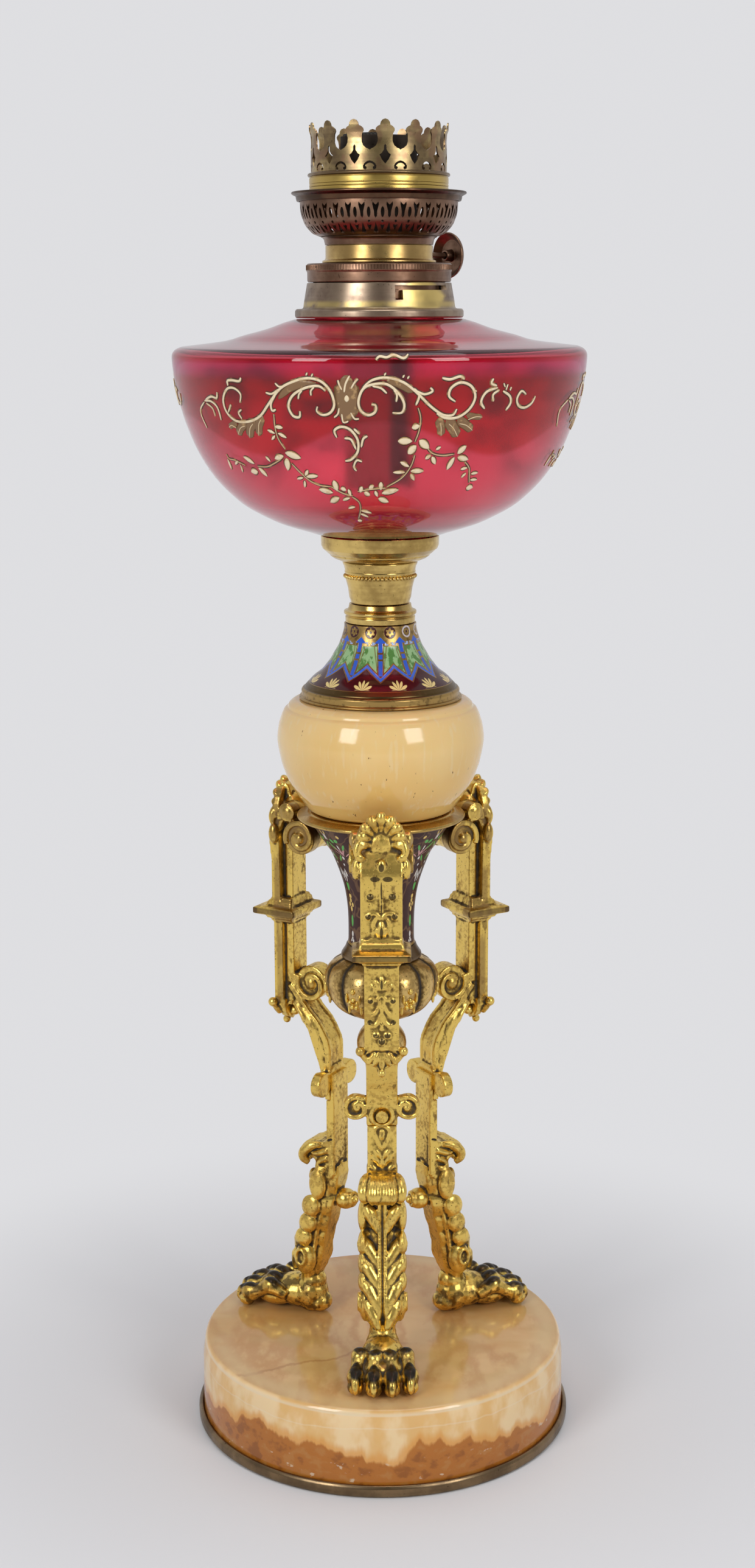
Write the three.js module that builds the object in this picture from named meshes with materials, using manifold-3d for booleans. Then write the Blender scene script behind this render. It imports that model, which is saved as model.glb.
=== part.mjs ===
// Kerosene table lamp: an onyx foot, three gilt paw legs, a column of enamel and onyx, a ruby glass font
// and a round-wick burner with a pierced gallery and a petal crown.
// Millimetres, +Z up, origin under the middle of the foot. The front leg points to -Y.
import * as THREE from "three";
import { mergeVertices } from "three/addons/utils/BufferGeometryUtils.js";
import Module from "manifold-3d";

// Clearances
const seatGap = 0.3; // between two pieces that rest on each other
const slideGap = 0.5; // round a shaft, a tube or a sleeve that moves
const screwGap = 0.5; // between a screw and its hole, on the radius

// Foot
const footRadius = 92;
const footFloor = 2;
const footRimHeight = 6;
const footRimWall = 2.1;
const onyxHeight = 40.1;
const onyxChamferHeight = 9;
const onyxChamferWidth = 1.9;

// Paw screws, from under the foot up into the paws
const pawScrewDistance = 56;
const pawScrewRadius = 2.5;
const pawScrewHeadRadius = 5;
const pawScrewHeadHeight = 3;
const pawScrewGrip = 9; // how far it goes up into the paw
const pawWasherHeight = 1;
const pawWasherRadius = 6.5;
const screwPocketDepth = 6;

// Lower leg: the strap is the flat upright bar, outer and inner are distances from the lamp's axis
const strapOuter = 27.9;
const strapInner = 23.4;
const strapWidth = 14;
const strapHeight = 115.8; // from the onyx to the shoulder of the lap joint
const lapHeight = 13.5; // the tongue that rises behind the bracket
const lapThickness = 2;
const hookWidth = 20.5;
const pawWidth = 34;
const pawReach = 80; // toe tips from the axis

// Bracket, the upper leg
const bracketHeight = 144.4; // from the lap joint to the shelf under the dish
const pilasterOuter = 56;
const pilasterThickness = 5;
const pilasterWidth = 19.2;
const pilasterLowerWidth = 16;
const pilasterFoot = 46; // height of its lower end in the bracket
const webWidth = 11;
const innerStripDistance = 46; // from the axis to its inner face
const innerStripThickness = 4.3;
const innerStripWidth = 12.7;
const mouldingLevel = 93;
const mouldingReach = 9; // past the pilaster's face
const sideScrollRadius = 6.1;
const sideScrollSpacing = 11.4; // from the leg's middle to a scroll's middle
const sideScrollThickness = 5.3;
const lowerVoluteRadius = 9.2;
const lowerVoluteLevel = 58;
const upperVoluteRadius = 8.8;
const upperVoluteWidth = 29.6;
const shelfThickness = 5;
const shelfWidth = 14;
const rollRadius = 4.5;
const rollWidth = 27;
const shellWidth = 22.6;
const shellHeight = 16;
const bracketScrewRadius = 1.3;
const bracketScrewHeadRadius = 3;
const bracketScrewHeadHeight = 1.6;
const bracketScrewLevel = 5.5; // above the lap joint
const dishScrewDistance = 36.6;
const dishScrewRadius = 1.5;
const dishScrewHeadRadius = 2.7;
const dishScrewHeadHeight = 1.5;
const dishScrewGrip = 1.6; // how far it goes up into the dish

// Column, from the dish down
const dishRadius = 40;
const dishHeight = 3.8;
const trumpetHeight = 61.2;
const trumpetNeckRadius = 15.8;
const trumpetTopRadius = 34;
const trumpetShoulderRadius = 27.6; // where the upper volutes stand beside it
const knopCollarHeight = 6.2;
const knopCollarRadius = 19.3;
const knopHeight = 30;
const knopRadius = 27.4;
const knopLobes = 12;
const knopLobeDepth = 0.05; // share of the radius
const finialRadius = 12;
const finialHeight = 26.4;
const finialThreadDepth = 14;

// Column, from the dish up
const vaseHeight = 53.4;
const vaseRadius = 48.7;
const coneHeight = 35.4;
const coneFootRadius = 37;
const coneNeckRadius = 16.8;
const spoolHeight = 8.7;
const spoolRadius = 16.9;
const socketHeight = 19.3;
const socketBeadRadius = 17.2;
const cupHeight = 11.8;
const cupRadius = 27.4;
const cupFloor = 4.6;
const cupWall = 1.2;
const tieRodRadius = 4;
const tieNutHeight = 4;
const tieNutRadius = 7.5;
const tieWasherHeight = 1;
const tieWasherRadius = 10;

// Glass font
const fontRadius = 94.2;
const fontBowlHeight = 79.6;
const fontShoulderHeight = 17.9;
const fontSeatRadius = 27;
const fontWall = 3;
const fontNeckRadius = 29;
const fontNeckHeight = 5.8;
const fontNeckBore = 25.5;

// Font collar, and the burner's base that turns in it
const collarFlangeRadius = 38.2;
const collarFlangeHeight = 4;
const collarHeight = 15.5;
const collarFootRadius = 34.3;
const collarTopRadius = 32.6;
const collarPocketRadius = 30.3;
const collarPocketDepth = 8.5;
const slotCount = 2;
const slotStart = 12; // degrees round to the right of the front
const slotSweep = 53;
const slotHeight = 2;
const slotTopSkin = 1.3; // metal left over the slot
const slotLegWidth = 6; // degrees
const slotLegDrop = 6.2;
const lugWidth = 5; // degrees
const lugReach = 1.9;
const skirtDepth = 7.4;
const skirtWall = 0.9;
const capHeight = 8.2;
const capRadius = 32.5;
const capRimRadius = 32.9;
const capRimHeight = 3.5;
const capSheet = 1.2;

// Burner body and tubes
const bodyFootRadius = 25.7;
const bodyRadius = 24.2;
const bodyWall = 0.8;
const bodyBandHeight = 7.5;
const bodySpigotHeight = 5.2;
const bodySpigotStep = 0.9;
const bodyFloor = 0.6;
const wickTubeRadius = 17.1;
const tubeWall = 0.8;
const wickTubeRise = 54.7; // above the body's foot
const wickTubeTail = 15; // below the cap
const wickThickness = 2.5;
const wickLength = 157;
const wickProud = 1;
const draftTubeDrop = 3.3; // below the body's foot
const draftTubeFloor = 1;
const ductWidth = 9;
const ductHeight = 9;
const ductWall = 0.8;
const ductAngle = -52; // degrees from +X, the side duct opens opposite the winder

// Wick winder. The spindle runs past the wick tube, behind it, to the right
const spindleAngle = 38; // degrees from +X
const spindleLevel = 3.4; // above the body's floor
const spindleRadius = 1.35;
const wheelRadius = 2.7;
const wheelWidth = 1.6;
const wheelSpacing = 5;
const wheelTeeth = 10;
const wheelToothDepth = 0.6;
const knobRadius = 10.8;
const knobDistance = 56.5; // along the spindle
const knobHubRadius = 2.8;
const knobHubLength = 5;
const knobSheet = 0.9;
const knobDish = 3.2;
const winderCheek = 1;

// Gallery: basket, shade ring and crown
const basketWall = 0.8;
const basketHeight = 21.3;
const basketRadius = 35.5;
const basketOpenings = 24;
const shadeRingRadius = 39.5;
const shadeRingSheet = 1.6;
const shadeLipHeight = 2.6;
const shadeLipWall = 0.9;
const chimneySeatBore = 26.5;
const crownRadius = 31.2;
const crownWall = 0.8;
const crownBandHeight = 6.5;
const crownBeadHeight = 1.7;
const crownBeadReach = 0.8;
const crownWallHeight = 15.9; // where the gaps between petals begin
const crownHeight = 29.7;
const crownGroove = 0.5; // depth of the groove it stands in
const petalCount = 14;
const petalSheet = 0.5;
const petalTurn = 5.2; // degrees round from the front

// Facets round a full turn. Pieces that nest share one count, so their flats line up
const footFacets = 24;
const dishFacets = 24;
const vaseFacets = 24;
const columnFacets = 20;
const smallFacets = 16;
const fontFacets = 24;
const burnerFacets = 24;
const tubeFacets = 20;
const screwFacets = 8;
const boreFacets = 8;

// Materials
function finish(color, roughness, metalness = 0, more = {}) {
  return new THREE.MeshStandardMaterial({ color, roughness, metalness, ...more });
}
const gilt = finish(0xd8a83c, 0.35, 1);
const bronze = finish(0x7a5a2c, 0.45, 1);
const darkBrass = finish(0x4a3a2e, 0.5, 1);
const brightBrass = finish(0xc9a24a, 0.25, 1);
const sootyBrass = finish(0x2c2622, 0.7, 1);
const steel = finish(0x8c8c88, 0.4, 1);
const onyxTan = finish(0xb08860, 0.25);
const onyxHoney = finish(0xe0bf78, 0.2);
const enamel = finish(0x4a2a2c, 0.25);
const rubyGlass = finish(0x8c2236, 0.08, 0, { transparent: true, opacity: 0.85 });
const cotton = finish(0xcfc4ac, 0.95);

// Solids
const wasm = await Module();
wasm.setup();

function degrees(angle) {
  return (angle * Math.PI) / 180;
}

// A closed geometry as a solid, with its faces turned out.
function solid(geometry) {
  const loose = new THREE.BufferGeometry();
  const flat = geometry.index ? geometry.toNonIndexed() : geometry;
  loose.setAttribute("position", flat.getAttribute("position"));
  const merged = mergeVertices(loose, 1e-4);
  const corners = merged.index.array;
  const places = merged.getAttribute("position").array;
  const triangles = [];
  let volume = 0;
  const a = new THREE.Vector3();
  const b = new THREE.Vector3();
  const c = new THREE.Vector3();
  for (let i = 0; i < corners.length; i += 3) {
    const [p, q, r] = corners.slice(i, i + 3);
    if (p === q || q === r || r === p) continue;
    triangles.push([p, q, r]);
    a.fromArray(places, 3 * p);
    b.fromArray(places, 3 * q);
    c.fromArray(places, 3 * r);
    volume += a.dot(b.cross(c));
  }
  const outward = volume < 0 ? triangles.map(([p, q, r]) => [p, r, q]) : triangles;
  return new wasm.Manifold(
    new wasm.Mesh({
      numProp: 3,
      vertProperties: Float32Array.from(places),
      triVerts: Uint32Array.from(outward.flat()),
    }),
  );
}

function geometryOf(shape) {
  const mesh = shape.getMesh();
  const geometry = new THREE.BufferGeometry();
  geometry.setAttribute("position", new THREE.BufferAttribute(mesh.vertProperties, 3));
  geometry.setIndex(new THREE.BufferAttribute(mesh.triVerts, 1));
  geometry.computeVertexNormals();
  return geometry;
}

function join(...shapes) {
  return shapes.reduce((whole, shape) => whole.add(shape));
}

function cut(shape, ...tools) {
  return tools.reduce((rest, tool) => rest.subtract(tool), shape);
}

// Points of a smooth curve through the given [across, up] points.
function curve(points, steps) {
  const spline = new THREE.SplineCurve(points.map(([x, y]) => new THREE.Vector2(x, y)));
  return spline.getPoints(steps).map((p) => [p.x, p.y]);
}

// [share of radius, share of height] points as real ones.
function scaled(points, radius, height, from = 0) {
  return points.map(([r, h]) => [r * radius, from + h * height]);
}

// An outline of [radius, height] points turned about Z.
// It starts and ends on the axis, or closes on itself.
function turned(outline, segments, from = 0) {
  const points = outline.map(([r, z]) => new THREE.Vector2(r, z + from));
  if (outline[0][0] > 0) points.push(points[0].clone());
  return solid(new THREE.LatheGeometry(points, segments).rotateX(Math.PI / 2));
}

function disc(radius, height, segments, from = 0) {
  return turned([[0, 0], [radius, 0], [radius, height], [0, height]], segments, from);
}

function washer(outer, inner, height, segments, from = 0) {
  return turned([[inner, 0], [outer, 0], [outer, height], [inner, height]], segments, from);
}

function extruded(points, depth) {
  const shape = new THREE.Shape(points.map(([x, y]) => new THREE.Vector2(x, y)));
  return new THREE.ExtrudeGeometry(shape, { depth, bevelEnabled: false });
}

// A side outline of [distance from the axis, height] points, as wide as width, in a leg's own frame.
function sidePlate(points, width) {
  return solid(extruded(points, width).rotateX(Math.PI / 2).translate(0, width / 2, 0));
}

// A front outline of [sideways, height] points that reaches from one distance to another.
function frontPlate(points, near, far) {
  const toFront = new THREE.Matrix4().makeBasis(
    new THREE.Vector3(0, 1, 0),
    new THREE.Vector3(0, 0, 1),
    new THREE.Vector3(1, 0, 0),
  );
  return solid(extruded(points, far - near).applyMatrix4(toFront).translate(near, 0, 0));
}

// A block between two corners.
function block(low, high) {
  const size = high.map((value, i) => value - low[i]);
  const middle = high.map((value, i) => (value + low[i]) / 2);
  return solid(new THREE.BoxGeometry(...size).translate(...middle));
}

// A round bar between two points.
function bar(start, end, radius, segments) {
  const a = new THREE.Vector3(...start);
  const b = new THREE.Vector3(...end);
  const turn = new THREE.Quaternion().setFromUnitVectors(
    new THREE.Vector3(0, 1, 0),
    b.clone().sub(a).normalize(),
  );
  const geometry = new THREE.CylinderGeometry(radius, radius, a.distanceTo(b), segments)
    .applyQuaternion(turn)
    .translate(...a.add(b).multiplyScalar(0.5).toArray());
  return solid(geometry);
}

// An egg shape with three radii.
function egg(middle, radii, segments = 8, rings = 6) {
  return solid(new THREE.SphereGeometry(1, segments, rings).scale(...radii).translate(...middle));
}

// A closed skin through rings with equally many points, with flat ends.
function loft(rings) {
  const count = rings[0].length;
  const faces = [];
  for (let i = 0; i + 1 < rings.length; i += 1) {
    for (let j = 0; j < count; j += 1) {
      const k = (j + 1) % count;
      faces.push(rings[i][j], rings[i][k], rings[i + 1][k]);
      faces.push(rings[i][j], rings[i + 1][k], rings[i + 1][j]);
    }
  }
  const last = rings[rings.length - 1];
  for (let j = 1; j + 1 < count; j += 1) {
    faces.push(rings[0][0], rings[0][j + 1], rings[0][j]);
    faces.push(last[0], last[j], last[j + 1]);
  }
  const geometry = new THREE.BufferGeometry();
  geometry.setAttribute("position", new THREE.Float32BufferAttribute(faces.flat(), 3));
  return solid(geometry);
}

// A ring sector between two radii, two angles in degrees and two levels.
function sector(inner, outer, from, to, low, high) {
  const shape = new THREE.Shape();
  shape.absarc(0, 0, outer, degrees(from), degrees(to), false);
  shape.absarc(0, 0, inner, degrees(to), degrees(from), true);
  const settings = { depth: high - low, bevelEnabled: false, curveSegments: Math.ceil((to - from) / 8) };
  return solid(new THREE.ExtrudeGeometry(shape, settings).translate(0, 0, low));
}

// The inner side of a wall: each point moves in, square to the outline.
function inset(points, wall) {
  return points.map((point, i) => {
    const before = points[Math.max(i - 1, 0)];
    const after = points[Math.min(i + 1, points.length - 1)];
    const along = new THREE.Vector2(after[0] - before[0], after[1] - before[1]).normalize();
    return [point[0] - along.y * wall, point[1] + along.x * wall];
  });
}

const lamp = new THREE.Group();

function piece(name, shape, material, parent = lamp) {
  const mesh = new THREE.Mesh(geometryOf(shape), material);
  mesh.name = name;
  parent.add(mesh);
  return mesh;
}

// Levels of the fixed stack
const onyxFoot = footFloor + seatGap;
const onyxTop = onyxFoot + onyxHeight;
const legFoot = onyxTop + seatGap;
const bracketFoot = legFoot + strapHeight + seatGap;
const dishFoot = bracketFoot + bracketHeight + seatGap;
const trumpetFoot = dishFoot - seatGap - trumpetHeight;
const knopCollarFoot = trumpetFoot - seatGap - knopCollarHeight;
const knopFoot = knopCollarFoot - seatGap - knopHeight;
const finialFoot = knopFoot - seatGap - finialHeight;
const vaseFoot = dishFoot + dishHeight + seatGap;
const coneFoot = vaseFoot + vaseHeight + seatGap;
const spoolFoot = coneFoot + coneHeight + seatGap;
const socketFoot = spoolFoot + spoolHeight + seatGap;
const cupFoot = socketFoot + socketHeight + seatGap;
const fontFoot = cupFoot + cupHeight + seatGap;
const tieRodBore = tieRodRadius + screwGap;

// Foot
const onyxRadius = footRadius - footRimWall - seatGap;
const pawScrewBore = pawScrewRadius + screwGap;
const screwPocketRadius = pawWasherRadius + 1;
const legAngles = { front: -90, right: 30, left: 150 };

function atLeg(angle, distance) {
  return [distance * Math.cos(degrees(angle)), distance * Math.sin(degrees(angle))];
}

function uprightAt(angle, distance, radius, height, segments, from) {
  const [x, y] = atLeg(angle, distance);
  return disc(radius, height, segments, from).translate([x, y, 0]);
}

function basePlate() {
  const rim = [
    [0, 0],
    [footRadius - 1, 0],
    [footRadius, 1.2],
    [footRadius, footRimHeight - 1.4],
    [footRadius - 0.8, footRimHeight],
    [footRadius - footRimWall, footRimHeight],
    [footRadius - footRimWall, footFloor],
    [0, footFloor],
  ];
  const holes = Object.values(legAngles).map((angle) =>
    uprightAt(angle, pawScrewDistance, screwPocketRadius, footFloor + 2, smallFacets - 6, -1),
  );
  return cut(turned(rim, footFacets), ...holes);
}

// A hole under one paw, from just below the onyx.
function pawHole(angle, radius, height, segments) {
  return uprightAt(angle, pawScrewDistance, radius, height, segments, onyxFoot - 1);
}

function onyxBase() {
  const outline = [
    [0, 0],
    [onyxRadius, 0],
    [onyxRadius - 0.3, onyxHeight - onyxChamferHeight],
    [onyxRadius - onyxChamferWidth + 0.4, onyxHeight - 1.2],
    [onyxRadius - onyxChamferWidth - 0.8, onyxHeight],
    [0, onyxHeight],
  ];
  const holes = Object.values(legAngles).flatMap((angle) => [
    pawHole(angle, screwPocketRadius, screwPocketDepth + 1, smallFacets - 6),
    pawHole(angle, pawScrewBore, onyxHeight + 2, boreFacets),
  ]);
  return cut(turned(outline, footFacets, onyxFoot), ...holes);
}

piece("base_plate", basePlate(), bronze);
piece("onyx_base", onyxBase(), onyxTan);

// Lower leg, in its own frame: X away from the lamp's axis, Z up from the onyx
const ankleDistance = pawReach - 40;
const footMiddle = pawReach - 24;

function paw() {
  const heel = egg([ankleDistance + 0.5, 0, 8], [8.5, 8, 10.5], 8, 5);
  const instep = loft(
    [
      [ankleDistance - 4, 6, 7, 8],
      [ankleDistance + 6, 6.2, 9.5, 8.5],
      [footMiddle - 2, 9.5, 9, 8.5],
      [footMiddle + 6, 12.5, 8, 7.5],
      [pawReach - 8, 13, 6, 5.5],
    ].map(([x, half, middle, tall]) => hexagonAt(x, 0, half, middle, tall)),
  );
  const spacing = (pawWidth - 9) / 3;
  const toes = [-1.5, -0.5, 0.5, 1.5].map((place) => {
    const shorter = Math.abs(place) > 1 ? 3 : 0;
    const stations = [
      [-25, 0.8, 3, 10.5, 4.4],
      [-16, 0.84, 4, 11.8, 5],
      [-6, 0.98, 4.3, 6.6, 6.2],
      [0, 1.02, 2.8, 4.6, 3.2],
    ];
    return loft(
      stations.map(([back, share, half, middle, tall]) =>
        hexagonAt(pawReach - shorter + back, place * spacing * share, half, middle, tall),
      ),
    );
  });
  return join(heel, instep, ...toes);
}

// A six-sided ring that stands across the paw.
function hexagonAt(x, y, half, middle, tall) {
  return [
    [x, y - half * 0.8, middle - tall * 0.8],
    [x, y + half * 0.8, middle - tall * 0.8],
    [x, y + half, middle],
    [x, y + half * 0.6, middle + tall],
    [x, y - half * 0.6, middle + tall],
    [x, y - half, middle],
  ];
}

function legShaft() {
  // Each ring: inner and outer distance, height, and half width.
  const stations = [
    [22.5, 33.5, 83, 7.2],
    [22, 34, 76.5, 11],
    [24, 33.7, 67, 8.6],
    [25, 38.5, 59, 12.2],
    [27.6, 41, 50, 11.6],
    [30.5, 44.6, 41, 9.6],
    [31.5, 47, 32, 10.4],
    [33.5, 47.2, 25, 9.4],
    [36, 45.5, 19, 6.4],
    [35, 47, 12, 6.5],
  ];
  return loft(
    stations.map(([inner, outer, z, half]) => {
      const middle = (inner + outer) / 2;
      return [
        [inner, -half * 0.55, z],
        [inner, half * 0.55, z],
        [middle, half, z],
        [outer - 1.5, half * 0.75, z],
        [outer, 0, z],
        [outer - 1.5, -half * 0.75, z],
        [middle, -half, z],
      ];
    }).reverse(),
  );
}

function leafHook() {
  const outline = curve(
    [
      [strapInner + 1, 99],
      [strapOuter + 2, 96.6],
      [35.9, 95.9],
      [42.4, 91.1],
      [43.1, 87.8],
      [41, 83.4],
      [38.5, 86.5],
      [34.6, 86.4],
      [32, 80.5],
      [strapInner + 1, 78],
    ],
    12,
  );
  return sidePlate(outline, hookWidth);
}

function lowerLeg() {
  const tongue = block(
    [strapInner, -strapWidth / 2, strapHeight - 1],
    [strapInner + lapThickness, strapWidth / 2, strapHeight + lapHeight],
  );
  const strap = block([strapInner, -strapWidth / 2, 78], [strapOuter, strapWidth / 2, strapHeight]);
  const backKnob = egg([21.5, 0, 63.5], [5, 5.5, 5], 6, 5);
  const whole = join(paw(), legShaft(), leafHook(), strap, tongue, backKnob);
  const sole = block([0, -pawWidth * 1.5, -pawReach], [pawReach * 1.5, pawWidth * 1.5, 0]);
  const socket = disc(pawScrewBore, pawScrewGrip + 2, boreFacets, -1).translate([pawScrewDistance, 0, 0]);
  const lapHole = bar(
    [strapInner - 1, 0, strapHeight + seatGap + bracketScrewLevel],
    [strapOuter, 0, strapHeight + seatGap + bracketScrewLevel],
    bracketScrewRadius + screwGap / 2,
    boreFacets,
  );
  return cut(whole, sole, socket, lapHole);
}

// Bracket, in its own frame: X away from the axis, Z up from the lap joint
const pilasterInner = pilasterOuter - pilasterThickness;
const lowerVoluteDistance = knopRadius + seatGap + lowerVoluteRadius;
const upperVoluteLevel = bracketHeight - shelfThickness + 1.8 - upperVoluteRadius;
const upperVoluteDistance = trumpetShoulderRadius + 1.1 + upperVoluteRadius;
const rollDistance = dishRadius + seatGap + rollRadius;
const sideScrollLevel = 9.5;
const sideScrollFace = strapOuter + 1.9;

function acrossBar(distance, level, radius, width, segments) {
  return bar([distance, -width / 2, level], [distance, width / 2, level], radius, segments);
}

function pilaster() {
  const bend = curve(
    [
      [pilasterOuter, bracketHeight - 26],
      [pilasterOuter + 1.2, bracketHeight - 17],
      [pilasterOuter + 0.3, bracketHeight - 11],
      [pilasterOuter - 2.5, bracketHeight - 4.5],
      [rollDistance + 2, bracketHeight + 2.5],
    ],
    6,
  );
  const top = sidePlate(
    [
      [pilasterInner, bracketHeight - 27],
      ...bend,
      [rollDistance, bracketHeight - 2],
      [pilasterInner, bracketHeight - 6],
    ],
    pilasterWidth,
  );
  return join(
    top,
    ribbedPost(pilasterWidth, mouldingLevel, bracketHeight - 26),
    ribbedPost(pilasterLowerWidth, pilasterFoot, mouldingLevel + 1),
  );
}

// The pilaster's section from one level to another: outer strip, web and inner strip.
function ribbedPost(width, low, high) {
  const quarter = [
    [pilasterOuter, width / 2],
    [pilasterInner, width / 2],
    [pilasterInner, webWidth / 2],
    [innerStripDistance + innerStripThickness - 0.8, webWidth / 2],
    [innerStripDistance + innerStripThickness - 0.8, innerStripWidth / 2],
    [innerStripDistance, innerStripWidth / 2],
  ];
  const other = quarter.map(([x, y]) => [x, -y]).reverse();
  return solid(extruded([...quarter, ...other], high - low).translate(0, 0, low));
}

function moulding() {
  const steps = [
    [-8.5, 0.6, 0.7],
    [-5, 2.2, 2.6],
    [-4.2, 0.48 * mouldingReach, 4],
    [-2.8, 0.5 * mouldingReach, 4.2],
    [0, mouldingReach, 5.5],
    [4.6, 0.5 * mouldingReach, 4.2],
    [5.4, 2.4, 2],
    [8.2, 0.6, 0.7],
  ];
  return loft(
    steps.map(([height, out, side]) => {
      const near = innerStripDistance - out * 0.5;
      const far = pilasterOuter + out;
      const half = pilasterLowerWidth / 2 + side;
      const z = mouldingLevel + height;
      return [[near, -half, z], [near, half, z], [far, half, z], [far, -half, z]];
    }),
  );
}

// Two scrolls side by side, as one flat bar with round ends.
function sideScrolls() {
  const end = Array.from({ length: 7 }, (_, i) => {
    const angle = degrees(-72 + i * 24);
    const y = sideScrollSpacing + sideScrollRadius * Math.cos(angle);
    return [y, sideScrollLevel + sideScrollRadius * Math.sin(angle)];
  });
  const otherEnd = end.map(([y, z]) => [-y, z]).reverse();
  const waist = sideScrollRadius - 1.5;
  const outline = [
    ...end,
    [sideScrollSpacing / 2, sideScrollLevel + waist],
    [-sideScrollSpacing / 2, sideScrollLevel + waist],
    ...otherEnd,
    [-sideScrollSpacing / 2, sideScrollLevel - waist],
    [sideScrollSpacing / 2, sideScrollLevel - waist],
  ];
  return frontPlate(outline, sideScrollFace - sideScrollThickness, sideScrollFace);
}

function lowerSweep() {
  const underside = curve(
    [
      [pilasterInner - 3.5, pilasterFoot + 2.4],
      [39.3, 38],
      [36.5, 30.7],
      [33.8, 23.3],
      [31.8, 18],
      [strapOuter, 0],
    ],
    6,
  );
  const back = curve(
    [
      [strapInner + lapThickness + seatGap, 0],
      [strapInner + lapThickness + seatGap, 16],
      [25.9, 26.8],
      [28.2, 32.7],
      [31.7, 38.4],
      [37.3, 44.2],
      [innerStripDistance + 1, 56],
    ],
    6,
  );
  const outline = [
    ...back,
    [pilasterInner + 1, 56],
    [pilasterInner + 1, pilasterFoot],
    ...underside,
  ];
  return sidePlate(outline, strapWidth + 0.8);
}

function shell() {
  const top = bracketHeight + shellHeight;
  const root = rollDistance;
  const side = curve(
    [
      [root + 0.5, bracketHeight + 1],
      [root + 3.4, bracketHeight + 6.5],
      [root + 4, bracketHeight + 11],
      [root + 6.5, top - 1.5],
      [root + 10, top - 2],
      [root + 12.8, bracketHeight + 9],
      [root + 10, bracketHeight + 8],
      [root + 7.5, bracketHeight + 5],
      [root + 6, bracketHeight + 1],
    ],
    10,
  );
  const half = shellWidth / 2;
  const fan = [
    [-half * 0.84, bracketHeight],
    [half * 0.84, bracketHeight],
    [half, bracketHeight + 5],
    [half * 0.92, bracketHeight + 9],
    [half * 0.72, bracketHeight + 10.5],
    [half * 0.62, bracketHeight + 13],
    [half * 0.25, top],
    [-half * 0.25, top],
    [-half * 0.62, bracketHeight + 13],
    [-half * 0.72, bracketHeight + 10.5],
    [-half * 0.92, bracketHeight + 9],
    [-half, bracketHeight + 5],
  ];
  return sidePlate(side, shellWidth + 2).intersect(frontPlate(fan, root, root + 14));
}

function pendant() {
  const level = pilasterFoot;
  const half = pilasterLowerWidth / 2;
  const leaf = frontPlate(
    [
      [-half, level + 1],
      [-half * 0.9, level - 3],
      [-5, level - 8],
      [-2, level - 12.5],
      [2, level - 12.5],
      [5, level - 8],
      [half * 0.9, level - 3],
      [half, level + 1],
    ],
    pilasterInner + 0.4,
    pilasterOuter - 0.6,
  );
  const knobs = [-1, 1].map((side) =>
    egg([pilasterOuter + 1, side * (half + 0.8), level - 1.8], [3.4, 2.7, 2.7], 6, 4),
  );
  return join(leaf, ...knobs);
}

function bracket() {
  const shelf = block(
    [trumpetTopRadius + seatGap, -shelfWidth / 2, bracketHeight - shelfThickness],
    [pilasterInner - 2, shelfWidth / 2, bracketHeight],
  );
  const underRoll = block(
    [dishRadius + seatGap + 0.7, -rollWidth / 2 + 1, bracketHeight - rollRadius],
    [pilasterInner, rollWidth / 2 - 1, bracketHeight - 1],
  );
  const volutes = [
    acrossBar(lowerVoluteDistance, lowerVoluteLevel, lowerVoluteRadius, innerStripWidth, 14),
    acrossBar(upperVoluteDistance, upperVoluteLevel, upperVoluteRadius, upperVoluteWidth, 14),
    acrossBar(rollDistance, bracketHeight, rollRadius, rollWidth, 10),
  ];
  const whole = join(
    pilaster(), moulding(), sideScrolls(), lowerSweep(), shell(), pendant(), shelf, underRoll, ...volutes,
  );
  const lapSlot = block(
    [0, -20, -20],
    [strapInner + lapThickness + seatGap, 20, lapHeight],
  );
  const shoulder = block([0, -40, -20], [80, 40, 0]);
  const screwHole = bar(
    [strapInner, 0, bracketScrewLevel],
    [strapOuter + 8, 0, bracketScrewLevel],
    bracketScrewRadius + screwGap / 2,
    8,
  );
  const shelfFoot = bracketHeight - shelfThickness;
  const dishBore = dishScrewRadius + screwGap / 2;
  const dishHole = disc(dishBore, shelfThickness + 2, boreFacets, shelfFoot - 1)
    .translate([dishScrewDistance, 0, 0]);
  const headRoom = disc(dishScrewHeadRadius + screwGap, 60, 10, shelfFoot - 60)
    .translate([dishScrewDistance, 0, 0]);
  return cut(whole, lapSlot, shoulder, screwHole, dishHole, headRoom);
}

function bracketScrew() {
  const face = sideScrollFace;
  const level = bracketScrewLevel;
  const head = bar(
    [face + seatGap, 0, level],
    [face + seatGap + bracketScrewHeadHeight, 0, level],
    bracketScrewHeadRadius,
    12,
  );
  const slot = block(
    [face + seatGap + bracketScrewHeadHeight - 0.7, -0.4, level - 4],
    [face + seatGap + bracketScrewHeadHeight + 1, 0.4, level + 4],
  );
  const shank = bar([strapInner, 0, level], [face + seatGap + 0.2, 0, level], bracketScrewRadius, 8);
  return cut(join(head, shank), slot);
}

function dishScrew() {
  const headTop = bracketHeight - shelfThickness - seatGap;
  const head = disc(dishScrewHeadRadius, dishScrewHeadHeight, screwFacets, headTop - dishScrewHeadHeight);
  const length = shelfThickness + 2 * seatGap + dishScrewGrip;
  const shank = disc(dishScrewRadius, length + 0.2, screwFacets, headTop - 0.2);
  return join(head, shank).translate([dishScrewDistance, 0, 0]);
}

function pawScrew() {
  const headTop = onyxFoot + screwPocketDepth - 2 * seatGap - pawWasherHeight;
  const shankTop = legFoot + pawScrewGrip;
  return join(
    disc(pawScrewHeadRadius, pawScrewHeadHeight, screwFacets, headTop - pawScrewHeadHeight),
    disc(pawScrewRadius, shankTop - headTop + 0.2, screwFacets, headTop - 0.2),
  ).translate([pawScrewDistance, 0, 0]);
}

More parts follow.
